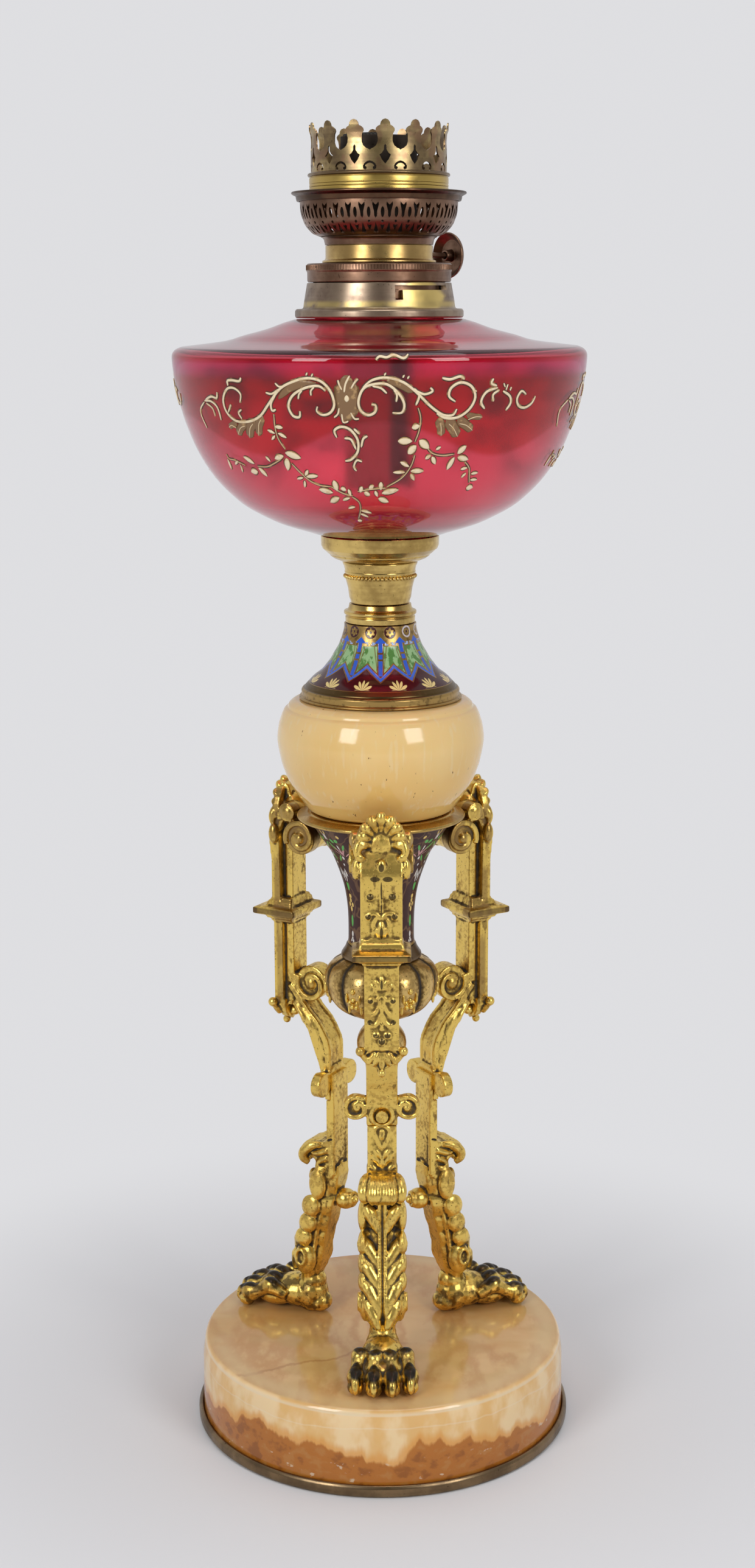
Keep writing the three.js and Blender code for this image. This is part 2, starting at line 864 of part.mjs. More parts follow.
function pawWasher() {
  const foot = onyxFoot + screwPocketDepth - seatGap - pawWasherHeight;
  return washer(pawWasherRadius, pawScrewBore, pawWasherHeight, screwFacets, foot)
    .translate([pawScrewDistance, 0, 0]);
}

for (const [side, angle] of Object.entries(legAngles)) {
  const corner = new THREE.Group();
  corner.rotation.z = degrees(angle);
  lamp.add(corner);
  piece(`base_screw_${side}`, pawScrew(), steel, corner);
  piece(`base_washer_${side}`, pawWasher(), steel, corner);
  piece(`leg_${side}`, lowerLeg(), gilt, corner).position.z = legFoot;
  piece(`bracket_${side}`, bracket(), gilt, corner).position.z = bracketFoot;
  piece(`bracket_screw_${side}`, bracketScrew(), darkBrass, corner).position.z = bracketFoot;
  piece(`dish_screw_${side}`, dishScrew(), steel, corner).position.z = bracketFoot;
}

// Column
function finial() {
  const middle = finialRadius + 0.5;
  const ball = [];
  for (let i = 0; i <= 7; i += 1) {
    const angle = degrees(-80 + i * 20);
    ball.push([finialRadius * Math.cos(angle), middle + finialRadius * Math.sin(angle)]);
  }
  const outline = [[0, 0], ...ball, [8, finialHeight - 1.5], [9.5, finialHeight], [0, finialHeight]];
  const threadFoot = finialFoot + finialHeight - finialThreadDepth;
  const thread = disc(tieRodBore, finialThreadDepth + 1, boreFacets, threadFoot);
  return cut(turned(outline, smallFacets, finialFoot), thread);
}

const knopShape = [[0.36, 0], [0.62, 0.1], [0.92, 0.35], [1, 0.6], [0.94, 0.8], [0.66, 1]];

// Lobes swell and shrink the radius round the axis.
function gadroonedKnop() {
  const profile = curve(scaled(knopShape, knopRadius, knopHeight), 6);
  const points = [[0, 0], ...profile, [0, knopHeight]].map(([r, z]) => new THREE.Vector2(r, z));
  const geometry = new THREE.LatheGeometry(points, knopLobes * 3).rotateX(Math.PI / 2);
  const place = geometry.getAttribute("position");
  for (let i = 0; i < place.count; i += 1) {
    const angle = Math.atan2(place.getY(i), place.getX(i));
    const share = 1 - knopLobeDepth * (0.5 - 0.5 * Math.cos(knopLobes * angle));
    place.setXY(i, place.getX(i) * share, place.getY(i) * share);
  }
  const bore = disc(tieRodBore, knopHeight + 2, boreFacets, -1);
  return cut(solid(geometry), bore).translate([0, 0, knopFoot]);
}

function bored(profile, segments, foot) {
  const last = profile[profile.length - 1][1];
  const first = profile[0][1];
  return turned([...profile, [tieRodBore, last], [tieRodBore, first]], segments, foot);
}

function trumpetProfile() {
  const points = [[trumpetNeckRadius + 0.9, 0], [trumpetNeckRadius, 2.5]];
  const steps = 8;
  for (let i = 2; i <= steps; i += 1) {
    const t = i / steps;
    points.push([trumpetNeckRadius + (trumpetTopRadius - trumpetNeckRadius) * t ** 2.7, t * trumpetHeight]);
  }
  return points;
}

function dishRing() {
  const outline = [
    [tieRodBore, 0],
    [dishRadius - 1.2, 0],
    [dishRadius, 0.6],
    [dishRadius, 2],
    [dishRadius - 7.2, dishHeight],
    [tieRodBore, dishHeight],
  ];
  const bore = dishScrewRadius + screwGap / 2;
  const holes = Object.values(legAngles).map((angle) =>
    uprightAt(angle, dishScrewDistance, bore, dishScrewGrip + seatGap + 1, boreFacets, dishFoot - 1),
  );
  return cut(turned(outline, dishFacets, dishFoot), ...holes);
}

const vaseShape = [
  [0.665, 0],
  [0.778, 0.107],
  [0.895, 0.27],
  [0.961, 0.438],
  [1, 0.663],
  [0.969, 0.82],
  [0.887, 0.955],
  [0.79, 1],
];
const coneShape = [
  [1, 0],
  [1, 0.05],
  [0.97, 0.12],
  [0.856, 0.206],
  [0.535, 0.367],
  [0.312, 0.528],
  [0.149, 0.689],
  [0.04, 0.853],
  [0, 1],
];

function coneProfile() {
  const flare = coneFootRadius - coneNeckRadius;
  return coneShape.map(([share, t]) => [coneNeckRadius + flare * share, t * coneHeight]);
}

function spoolProfile() {
  const waist = spoolRadius - 2;
  return [
    [spoolRadius - 0.7, 0],
    [spoolRadius - 0.7, 3],
    [spoolRadius, 3.8],
    [spoolRadius, 5],
    [waist, 6.8],
    [waist, spoolHeight],
  ];
}

function socketProfile() {
  const neck = socketBeadRadius - 3.2;
  return [
    [neck, 0],
    [neck + 0.4, 2.6],
    [neck + 1, 7],
    [neck + 1.6, 10.4],
    [socketBeadRadius, 11.4],
    [socketBeadRadius, 13.6],
    [neck + 2.4, 15],
    [neck + 3.4, 17.6],
    [neck + 4, socketHeight],
  ];
}

function fontCup() {
  const outline = [
    [tieRodBore, 0],
    [cupRadius - 9.1, 0],
    [cupRadius - 5.8, 1.4],
    [cupRadius - 3.2, 4.4],
    [cupRadius - 0.2, 8.4],
    [cupRadius, cupHeight],
    [cupRadius - cupWall, cupHeight],
    [cupRadius - cupWall - 0.3, cupFloor + 4],
    [cupRadius - 6.5, cupFloor],
    [tieRodBore, cupFloor],
  ];
  return turned(outline, columnFacets, cupFoot);
}

function tieRod() {
  const foot = finialFoot + finialHeight - finialThreadDepth + seatGap;
  const top = cupFoot + cupFloor + 2 * seatGap + tieWasherHeight + tieNutHeight;
  return disc(tieRodRadius, top - foot, boreFacets, foot);
}

function tieNut() {
  const foot = cupFoot + cupFloor + 2 * seatGap + tieWasherHeight;
  const bore = disc(tieRodBore, tieNutHeight + 2, boreFacets, foot - 1);
  return cut(disc(tieNutRadius, tieNutHeight, 6, foot), bore);
}

piece("finial", finial(), gilt);
piece("gadrooned_knop", gadroonedKnop(), gilt);
piece(
  "knop_collar",
  bored(
    [
      [knopCollarRadius - 1.3, 0],
      [knopCollarRadius, 0.8],
      [knopCollarRadius, 1.8],
      [knopCollarRadius - 2.2, knopCollarHeight],
    ],
    columnFacets,
    knopCollarFoot,
  ),
  bronze,
);
piece("enamel_trumpet", bored(trumpetProfile(), columnFacets, trumpetFoot), enamel);
piece("dish_ring", dishRing(), bronze);
const vaseProfile = curve(scaled(vaseShape, vaseRadius, vaseHeight), 9);
piece("onyx_vase", bored(vaseProfile, vaseFacets, vaseFoot), onyxHoney);
piece("enamel_cone", bored(coneProfile(), columnFacets, coneFoot), enamel);
piece("spool", bored(spoolProfile(), smallFacets, spoolFoot), gilt);
piece("beaded_socket", bored(socketProfile(), smallFacets + 4, socketFoot), gilt);
piece("font_cup", fontCup(), gilt);
piece("tie_rod", tieRod(), steel);
piece(
  "tie_washer",
  washer(tieWasherRadius, tieRodBore, tieWasherHeight, smallFacets, cupFoot + cupFloor + seatGap),
  steel,
);
piece("tie_nut", tieNut(), steel);

// Font. Its base dips into the cup, its bowl starts over the cup's rim
const fontShoulder = fontFoot + fontBowlHeight + fontShoulderHeight;
const bowlShape = [
  [0.464, 0.062],
  [0.652, 0.17],
  [0.785, 0.312],
  [0.866, 0.451],
  [0.942, 0.657],
  [0.993, 0.933],
];
const shoulderShape = [[0.999, 0.15], [0.955, 0.3], [0.75, 0.455], [0.543, 0.75], [0.409, 1]];

function glassFont() {
  const bowl = curve(
    [[fontSeatRadius, 0], ...scaled(bowlShape, fontRadius, fontBowlHeight), [fontRadius, fontBowlHeight]],
    8,
  );
  const shoulder = scaled(shoulderShape, fontRadius, fontShoulderHeight, fontBowlHeight);
  const outer = [[fontSeatRadius - 9, -0.8], ...bowl, ...shoulder];
  const inner = inset(outer, fontWall).filter(([r], i) => r > fontNeckBore - 6 && i % 2 === 0);
  const rise = fontBowlHeight + fontShoulderHeight;
  const outline = [
    [0, -1],
    ...outer,
    [fontNeckRadius, rise],
    [fontNeckRadius, rise + fontNeckHeight],
    [fontNeckBore, rise + fontNeckHeight],
    [fontNeckBore, rise - fontWall],
    ...inner.reverse(),
    [0, fontWall - 1],
  ];
  return turned(outline, fontFacets, fontFoot);
}

piece("glass_font", glassFont(), rubyGlass);

// Font collar with its bayonet slots
const collarFoot = fontShoulder + seatGap;
const collarTop = collarFoot + collarHeight;
const slotTop = collarTop - slotTopSkin;
const front = -90;

function fontCollar() {
  const bore = fontNeckRadius + seatGap;
  const outline = [
    [bore, 0],
    [collarFlangeRadius - 0.8, 0],
    [collarFlangeRadius, 1],
    [collarFlangeRadius, collarFlangeHeight - 1],
    [collarFlangeRadius - 0.8, collarFlangeHeight],
    [collarFootRadius, collarFlangeHeight],
    [collarTopRadius, collarHeight],
    [collarPocketRadius, collarHeight],
    [collarPocketRadius, collarHeight - collarPocketDepth],
    [bore, collarHeight - collarPocketDepth],
  ];
  const reach = collarFlangeRadius;
  const slots = [];
  for (let i = 0; i < slotCount; i += 1) {
    const start = front + slotStart + (i * 360) / slotCount;
    const end = start + slotSweep;
    const slotFoot = slotTop - slotHeight;
    const legFloor = slotFoot - slotLegDrop + 2;
    const near = collarPocketRadius - 1;
    const skin = collarTopRadius - 0.6;
    slots.push(
      sector(near, reach, start, end, slotFoot, slotTop),
      sector(near, reach, start, start + slotLegWidth, legFloor, slotTop),
      sector(near, skin, end - slotLegWidth, end, slotFoot, collarTop + 1),
    );
  }
  return cut(turned(outline, fontFacets, collarFoot), ...slots);
}

piece("font_collar", fontCollar(), darkBrass);

// Burner. Everything here turns in the bayonet, and the gallery lifts off it
const capFoot = collarTop + seatGap;
const capTop = capFoot + capHeight;
const bodyFoot = capTop + seatGap;
const bodyBandTop = bodyFoot + bodyBandHeight;
const wickTubeTop = bodyFoot + wickTubeRise;
const wickTubeBore = wickTubeRadius + seatGap;
const wickOuter = wickTubeRadius - tubeWall - seatGap;
const wickInner = wickOuter - wickThickness;
const draftTubeRadius = wickInner - seatGap;
const draftTubeBore = draftTubeRadius - tubeWall;
const burner = new THREE.Group();
lamp.add(burner);

function bayonetCap() {
  const skirtOuter = collarPocketRadius - slideGap;
  const skirtInner = skirtOuter - skirtWall;
  const shoulder = capFoot + 1.1;
  const outline = [
    [skirtInner, capFoot - skirtDepth],
    [skirtOuter, capFoot - skirtDepth],
    [skirtOuter, capFoot],
    [capRadius - 0.2, capFoot],
    [capRadius, capTop - capRimHeight],
    [capRimRadius, capTop - capRimHeight + 0.6],
    [capRimRadius, capTop - 0.7],
    [capRimRadius - 0.6, capTop],
    [wickTubeBore, capTop],
    [wickTubeBore, capTop - capSheet],
    [capRadius - capSheet, capTop - capSheet],
    [capRadius - capSheet, shoulder],
    [skirtInner, shoulder],
  ];
  const lugs = [];
  for (let i = 0; i < slotCount; i += 1) {
    const start = front + slotStart + 0.5 + (i * 360) / slotCount;
    lugs.push(
      sector(skirtInner + 0.1, skirtOuter + lugReach, start, start + lugWidth,
        slotTop - slotHeight + seatGap, slotTop - seatGap),
    );
  }
  return join(turned(outline, burnerFacets), ...lugs);
}

function burnerBody() {
  const spigot = bodyRadius - bodySpigotStep;
  const inner = spigot - bodyWall;
  const outline = [
    [wickTubeBore, bodyFoot],
    [bodyFootRadius, bodyFoot],
    [bodyFootRadius, bodyFoot + 1],
    [bodyRadius, bodyFoot + 1.4],
    [bodyRadius, bodyBandTop],
    [spigot, bodyBandTop],
    [spigot, bodyBandTop + bodySpigotHeight],
    [inner, bodyBandTop + bodySpigotHeight],
    [inner, bodyFoot + bodyFloor],
    [wickTubeBore, bodyFoot + bodyFloor],
  ];
  return turned(outline, burnerFacets);
}

piece("bayonet_cap", bayonetCap(), darkBrass, burner);

// Winder frame: X along the spindle towards the knob, Y away from the lamp's axis, Z up
const spindleOffset = wickOuter + seatGap + wheelRadius;
const spindleHeight = bodyFoot + spindleLevel + bodyFloor;
const winderTurn = degrees(spindleAngle);

function toLamp(shape) {
  return shape.rotate([0, 0, spindleAngle]);
}

const spindleBore = bar(
  [0, spindleOffset, spindleHeight],
  [bodyRadius * 2, spindleOffset, spindleHeight],
  spindleRadius + slideGap,
  12,
);
piece("burner_body", cut(burnerBody(), toLamp(spindleBore)), brightBrass, burner);

function outerWickTube() {
  const foot = capTop - wickTubeTail;
  const tube = washer(wickTubeRadius, wickTubeRadius - tubeWall, wickTubeTop - foot, tubeFacets, foot);
  const wheelWindow = block(
    [-wheelSpacing / 2 - wheelWidth - 0.6, wickOuter - 6, spindleHeight - wheelRadius - 0.6],
    [wheelSpacing / 2 + wheelWidth + 0.6, wickTubeRadius + 6, spindleHeight + wheelRadius + 0.6],
  );
  const ductGap = ductWidth / 2 + ductWall + seatGap;
  const ductTop = ductFoot + ductOuterHeight;
  const ductWindow = block([0, -ductGap, ductFoot - seatGap], [60, ductGap, ductTop + seatGap])
    .rotate([0, 0, ductAngle]);
  return cut(tube, toLamp(wheelWindow), ductWindow);
}

const ductFoot = bodyFoot + bodyFloor + 0.8;
const ductOuterHeight = ductHeight + 2 * ductWall;

function draftTube() {
  const foot = bodyFoot - draftTubeDrop;
  const tube = turned(
    [
      [0, foot],
      [draftTubeRadius, foot],
      [draftTubeRadius, wickTubeTop],
      [draftTubeBore, wickTubeTop],
      [draftTubeBore, foot + draftTubeFloor],
      [0, foot + draftTubeFloor],
    ],
    tubeFacets,
  );
  const half = ductWidth / 2 + ductWall;
  const start = draftTubeBore - 1;
  const end = wickTubeRadius + 0.6;
  const duct = block([start, -half, ductFoot], [end, half, ductFoot + ductOuterHeight])
    .rotate([0, 0, ductAngle]);
  const passage = block(
    [0, -ductWidth / 2, ductFoot + ductWall],
    [end + 5, ductWidth / 2, ductFoot + ductWall + ductHeight],
  ).rotate([0, 0, ductAngle]);
  const inside = disc(draftTubeBore, wickTubeTop, tubeFacets, foot + draftTubeFloor);
  return cut(join(tube, cut(duct, inside)), passage);
}

function wick() {
  const top = wickTubeTop + wickProud;
  const sleeve = washer(wickOuter, wickInner, wickLength, tubeFacets, top - wickLength);
  const half = ductWidth / 2 + ductWall + slideGap;
  const opening = block([0, -half, 0], [60, half, 2 * wickTubeTop]).rotate([0, 0, ductAngle]);
  return cut(sleeve, opening);
}

piece("outer_wick_tube", outerWickTube(), sootyBrass, burner);
piece("draft_tube", draftTube(), sootyBrass, burner);
piece("wick", wick(), cotton, burner);

function winderWheel(along) {
  const points = [];
  for (let i = 0; i < wheelTeeth * 2; i += 1) {
    const radius = i % 2 ? wheelRadius - wheelToothDepth : wheelRadius;
    const angle = (i * Math.PI) / wheelTeeth;
    points.push([radius * Math.cos(angle), radius * Math.sin(angle)]);
  }
  const wheel = frontPlate(points, along - wheelWidth / 2, along + wheelWidth / 2);
  const bore = bar([along - 2, 0, 0], [along + 2, 0, 0], spindleRadius + seatGap, 8);
  return cut(wheel, bore);
}

function winderBracket() {
  const near = wickTubeRadius + seatGap;
  const far = spindleOffset + spindleRadius + 1.1;
  const inside = wheelSpacing / 2 + wheelWidth + 0.5;
  const low = spindleHeight - wheelRadius - 0.1;
  const high = spindleHeight + wheelRadius + 2.2;
  const cheeks = [-1, 1].map((side) =>
    block(
      [side > 0 ? inside : -inside - winderCheek, near, low],
      [side > 0 ? inside + winderCheek : -inside, far, high],
    ),
  );
  const roof = block([-inside - winderCheek, near, high - 1], [inside + winderCheek, far, high]);
  const bore = bar(
    [-20, spindleOffset, spindleHeight],
    [20, spindleOffset, spindleHeight],
    spindleRadius + slideGap - 0.1,
    10,
  );
  return toLamp(cut(join(...cheeks, roof), bore));
}

function knob() {
  const hubEnd = knobHubLength;
  const outline = [
    [0, hubEnd + 0.6],
    [knobHubRadius, hubEnd + 0.6],
    [knobRadius - 3, hubEnd + 0.3],
    [knobRadius - 0.6, hubEnd - knobDish + 0.6],
    [knobRadius, hubEnd - knobDish],
    [knobRadius - 0.4, hubEnd - knobDish - 0.5],
    [knobRadius - 1.6, hubEnd - knobDish + 0.4],
    [knobRadius - 3.6, hubEnd - knobSheet + 0.2],
    [knobHubRadius, hubEnd - knobSheet],
    [knobHubRadius - 0.4, 0],
    [0, 0],
  ];
  const bore = disc(spindleRadius + seatGap, knobHubLength, 10, -1);
  return cut(turned(outline, smallFacets + 4), bore)
    .rotate([0, 90, 0])
    .translate([knobDistance - knobHubLength / 2, 0, 0]);
}

const winder = new THREE.Group();
winder.rotation.z = winderTurn;
winder.position.set(
  -spindleOffset * Math.sin(winderTurn),
  spindleOffset * Math.cos(winderTurn),
  spindleHeight,
);
burner.add(winder);
const spindleStart = -wheelSpacing / 2 - wheelWidth - winderCheek - 1.5;
const spindleEnd = knobDistance + knobHubLength / 2 - 1.4;
const spindle = bar([spindleStart, 0, 0], [spindleEnd, 0, 0], spindleRadius, 10);
piece("winder_spindle", spindle, darkBrass, winder);
piece("winder_wheel_near", winderWheel(-wheelSpacing / 2), darkBrass, winder);
piece("winder_wheel_far", winderWheel(wheelSpacing / 2), darkBrass, winder);
piece("winder_knob", knob(), darkBrass, winder);
piece("winder_bracket", winderBracket(), darkBrass, burner);

// Gallery: it slides up off the body's spigot
const galleryFoot = bodyBandTop + seatGap;
const basketTop = galleryFoot + basketHeight;
const ringFoot = basketTop + seatGap;
const ringTop = ringFoot + shadeRingSheet;
const crownFoot = ringTop - crownGroove + seatGap;
const gallery = new THREE.Group();
burner.add(gallery);

// A thin shell on a grid of rows and columns, where every other cell of the open rows is left out.
function piercedShell(rows, wall, columns, openRows) {
  const inner = inset(rows, wall);
  const corner = (row, column, profile) => {
    const angle = (2 * Math.PI * (column % columns)) / columns;
    const [r, z] = profile[row];
    return [r * Math.cos(angle), r * Math.sin(angle), z];
  };
  const isSolid = (row, column) =>
    row >= 0 && row + 1 < rows.length && !(openRows.includes(row) && (column + columns) % 2 === 0);
  const faces = [];
  const quad = (a, b, c, d) => faces.push(a, b, c, a, c, d);
  for (let row = 0; row + 1 < rows.length; row += 1) {
    for (let column = 0; column < columns; column += 1) {
      if (!isSolid(row, column)) continue;
      const [a, b, c, d] = [[row, column], [row, column + 1], [row + 1, column + 1], [row + 1, column]];
      const out = [a, b, c, d].map(([i, j]) => corner(i, j, rows));
      const back = [a, b, c, d].map(([i, j]) => corner(i, j, inner));
      quad(...out);
      quad(back[3], back[2], back[1], back[0]);
      if (!isSolid(row - 1, column)) quad(back[0], back[1], out[1], out[0]);
      if (!isSolid(row + 1, column)) quad(out[3], out[2], back[2], back[3]);
      if (!isSolid(row, column - 1)) quad(back[3], back[0], out[0], out[3]);
      if (!isSolid(row, column + 1)) quad(out[2], out[1], back[1], back[2]);
    }
  }
  const geometry = new THREE.BufferGeometry();
  geometry.setAttribute("position", new THREE.Float32BufferAttribute(faces.flat(), 3));
  return solid(geometry);
}

function airBasket() {
  const neck = bodyRadius - bodySpigotStep + slideGap + basketWall;
  const rows = [
    [neck, 0],
    [neck + 1.2, 3.6],
    [basketRadius - 2.2, 9],
    [basketRadius - 0.8, 12.4],
    [basketRadius, 17.8],
    [basketRadius, basketHeight],
  ].map(([r, z]) => [r, galleryFoot + z]);
  return piercedShell(rows, basketWall, basketOpenings * 2, [1, 3]);
}

function shadeRing() {
  const lipInner = basketRadius + slideGap;
  const lipOuter = lipInner + shadeLipWall;
  const lipFoot = ringFoot - shadeLipHeight;
  const grooveOuter = crownRadius + crownBeadReach + seatGap;
  const grooveInner = crownRadius - 0.8 - crownWall - slideGap;
  const outline = [
    [chimneySeatBore, ringFoot],
    [lipInner, ringFoot],
    [lipInner, lipFoot],
    [lipOuter, lipFoot],
    [lipOuter + 0.3, ringFoot - 0.2],
    [shadeRingRadius - 0.5, ringFoot + 0.3],
    [shadeRingRadius, ringFoot + 0.9],
    [shadeRingRadius - 0.3, ringTop],
    [grooveOuter, ringTop],
    [grooveOuter, ringTop - crownGroove],
    [grooveInner, ringTop - crownGroove],
    [grooveInner, ringTop],
    [chimneySeatBore, ringTop],
  ];
  return turned(outline, burnerFacets);
}

// Half widths of a petal up from its root, as shares of the petal's pitch.
const petalShape = [
  [0.48, -0.8],
  [0.25, 3.6],
  [0.26, 7.2],
  [0.325, 10.2],
  [0.05, 13.8],
];

function petal(turn) {
  const pitch = (2 * Math.PI) / petalCount;
  const rise = crownHeight - crownWallHeight;
  const strip = petalShape.map(([half, up]) => {
    const z = crownWallHeight + (up / 13.8) * rise;
    const flare = up > 9 ? (up - 9) * 0.16 : -up * 0.03;
    const outer = crownRadius - 1 + flare;
    const at = (share, radius) => {
      const angle = turn + share * pitch;
      return [radius * Math.cos(angle), radius * Math.sin(angle), z];
    };
    const inner = outer - petalSheet;
    return [at(-half, outer), at(half, outer), at(half, inner), at(-half, inner)];
  });
  return loft(strip);
}

function crown() {
  const wall = crownRadius - 0.8;
  const inner = wall - crownWall;
  const beadFoot = crownBandHeight;
  const beadTop = crownBandHeight + crownBeadHeight;
  const ring = turned(
    [
      [inner, 0],
      [crownRadius, 0],
      [crownRadius - 0.2, beadFoot],
      [crownRadius + crownBeadReach, beadFoot + 0.4],
      [crownRadius + crownBeadReach, beadTop - 0.3],
      [wall, beadTop],
      [wall, crownWallHeight],
      [inner, crownWallHeight],
    ],
    petalCount * 2,
  ).rotate([0, 0, front + petalTurn]);
  const turns = Array.from({ length: petalCount }, (_, i) =>
    degrees(front + petalTurn + (i * 360) / petalCount),
  );
  return join(ring, ...turns.map(petal)).translate([0, 0, crownFoot]);
}

piece("air_basket", airBasket(), darkBrass, gallery);
piece("shade_ring", shadeRing(), darkBrass, gallery);
piece("crown", crown(), brightBrass, gallery);

export default lamp;
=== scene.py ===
# %% [markdown]
# # A kerosene lamp in onyx, gilt bronze, enamel and ruby glass
#
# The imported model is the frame: it says where each piece is, in metres. This lesson dresses it. Turned
# pieces become smooth, castings get their relief, and each surface gets a finish. All outlines below are in
# millimetres, measured from the lamp's foot and from its axis, because that is how a turner writes them.

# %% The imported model
import math

import bmesh
import bpy
from mathutils import Matrix, Vector
from mathutils.geometry import delaunay_2d_cdt


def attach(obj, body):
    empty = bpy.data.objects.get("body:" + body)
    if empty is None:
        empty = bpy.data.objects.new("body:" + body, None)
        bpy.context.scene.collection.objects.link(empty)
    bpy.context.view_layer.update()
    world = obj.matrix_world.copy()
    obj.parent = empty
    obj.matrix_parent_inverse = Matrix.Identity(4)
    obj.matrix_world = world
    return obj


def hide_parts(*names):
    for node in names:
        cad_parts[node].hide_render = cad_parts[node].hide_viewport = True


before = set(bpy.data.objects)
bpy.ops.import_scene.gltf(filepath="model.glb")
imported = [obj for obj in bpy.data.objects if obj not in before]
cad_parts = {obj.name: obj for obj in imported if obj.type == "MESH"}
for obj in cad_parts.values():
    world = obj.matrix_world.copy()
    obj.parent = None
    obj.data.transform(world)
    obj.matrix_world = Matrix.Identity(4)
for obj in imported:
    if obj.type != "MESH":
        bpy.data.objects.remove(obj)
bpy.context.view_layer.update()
MM = 0.001

# %% [markdown]
# ## Camera
# The rims of the foot, the font and the gallery are circles, and the ellipses that they make in the photo
# give the camera's height and tilt. It stands a metre in front of the lamp and looks down by 12 degrees.


# %% Camera
def placed(name, data):
    """A new object, linked to the scene."""
    thing = bpy.data.objects.new(name, data)
    bpy.context.collection.objects.link(thing)
    return thing


LENS, SENSOR = 51.58, 36  # millimetres
EYE = (-0.00156, -1.04, 0.544)  # metres
LOOK_DOWN, ROLL = 12.19, -0.2  # degrees
eye = placed("photo_camera", bpy.data.cameras.new("photo_camera"))
eye.data.sensor_width = SENSOR
eye.data.lens = LENS
eye.data.clip_start = 0.02
tilt = Matrix.Rotation(math.radians(90 - LOOK_DOWN), 4, "X") @ Matrix.Rotation(math.radians(ROLL), 4, "Z")
eye.matrix_world = Matrix.Translation(EYE) @ tilt
bpy.context.scene.camera = eye
bpy.context.scene.view_settings.view_transform = "Standard"
print("camera at", EYE, "with a lens of", LENS, "mm")

# %% [markdown]
# ## Nodes
# Shaders and Geometry Nodes are both made of nodes and wires. One small function makes a node, sets it up
# and wires its inputs, so that the cells below can be read as a list of steps.


# %% Making a node
def node(tree, kind, wires=None, **settings):
    made = tree.nodes.new(kind)
    for name, value in settings.items():
        setattr(made, name, value)
    for key, value in (wires or {}).items():
        if isinstance(value, bpy.types.NodeSocket):
            tree.links.new(value, made.inputs[key])
        else:
            made.inputs[key].default_value = value
    return made


def mixed(tree, share, low, high):
    """A colour between two colours."""
    return node(tree, "ShaderNodeMix", {"Factor": share, 6: low, 7: high}, data_type="RGBA").outputs[2]


# %% [markdown]
# ## Light
# Two large soft boxes stand to the left and right of the camera: their reflections are the twin highlights
# on the onyx vase. A third lights the lamp from above. The room is pale behind the lamp and dimmer behind
# the camera, because gilt only looks like metal when it has something dark to reflect.

# %% Soft boxes
LAMP_MIDDLE = Vector((0, 0, 0.33))
for name, place, width, height, watts in (
    ("left_box", (-0.95, -1.25, 0.95), 0.55, 0.8, 11),
    ("right_box", (0.95, -1.2, 0.95), 0.55, 0.8, 9.5),
    ("top_box", (0.1, -0.2, 1.75), 1.1, 0.8, 6),
):
    light = bpy.data.lights.new(name, "AREA")
    light.shape = "RECTANGLE"
    light.size = width
    light.size_y = height
    light.energy = watts
    box = placed(name, light)
    box.location = place
    box.rotation_euler = (LAMP_MIDDLE - box.location).to_track_quat("-Z", "Y").to_euler()
    print(name, watts, "W")

# %% Room
BACKGROUND = (0.735, 0.735, 0.755, 1)
BEHIND_CAMERA, BEHIND_LAMP = (0.11, 0.105, 0.10, 1), (0.62, 0.62, 0.64, 1)
room = bpy.data.worlds.new("room")
room.use_nodes = True
bpy.context.scene.world = room
sky = room.node_tree
direction = node(sky, "ShaderNodeSeparateXYZ", {0: node(sky, "ShaderNodeTexCoord").outputs["Generated"]})
share = node(sky, "ShaderNodeMapRange", {"Value": direction.outputs["Y"], "From Min": -0.6, "From Max": 0.3})
dim = mixed(sky, share.outputs[0], BEHIND_CAMERA, BEHIND_LAMP)
seen = mixed(sky, node(sky, "ShaderNodeLightPath").outputs["Is Camera Ray"], dim, BACKGROUND)
sky.links.new(seen, sky.nodes["Background"].inputs["Color"])
print(len(sky.nodes), "nodes light the room")

# %% [markdown]
# ## Fields
# A pattern on a surface is a number at each point: the height, the angle round the axis, a noise. Here such
# a number is a Field, and adding or multiplying two fields writes a Math node, so a pattern can be written
# as ordinary sums. Object coordinates are in metres, and the fields turn them into millimetres.


# %% Fields
class Field:
    def __init__(self, tree, socket):
        self.tree = tree
        self.socket = socket

    def sum(self, operation, *values):
        wires = {i: value.socket if isinstance(value, Field) else value for i, value in enumerate(values)}
        return Field(self.tree, node(self.tree, "ShaderNodeMath", wires, operation=operation).outputs[0])

    def __add__(self, other):
        return self.sum("ADD", self, other)

    def __sub__(self, other):
        return self.sum("SUBTRACT", self, other)

    def __mul__(self, other):
        return self.sum("MULTIPLY", self, other)

    def __truediv__(self, other):
        return self.sum("DIVIDE", self, other)

    def __rsub__(self, other):
        return self.sum("SUBTRACT", other, self)

    __radd__ = __add__
    __rmul__ = __mul__

    def most(self, other):
        return self.sum("MAXIMUM", self, other)

    def size(self):
        return self.sum("ABSOLUTE", self)

    def cosine(self):
        return self.sum("COSINE", self)

    def fold(self, span):
        """Distance from the nearest multiple of span."""
        return self.sum("PINGPONG", self, span / 2)

    def over(self, edge, blur=0.1):
        """1 where the field is over the edge, 0 under it."""
        if isinstance(edge, Field):
            return (self - edge).over(0, blur)
        wires = {"Value": self.socket, "From Min": edge - blur, "From Max": edge + blur}
        step = node(self.tree, "ShaderNodeMapRange", wires, interpolation_type="SMOOTHSTEP")
        return Field(self.tree, step.outputs[0])

    def under(self, edge, blur=0.1):
        return 1 - self.over(edge, blur)

    def near(self, middle, reach, blur=0.1):
        return (self - middle).size().under(reach, blur)


# %% [markdown]
# ## Finishes
# A finish starts from one shader and one colour. Layers of other colours are laid over it through masks,
# as patina, dirt or enamel lie on the real thing, and the same masks can change its gloss and its relief.

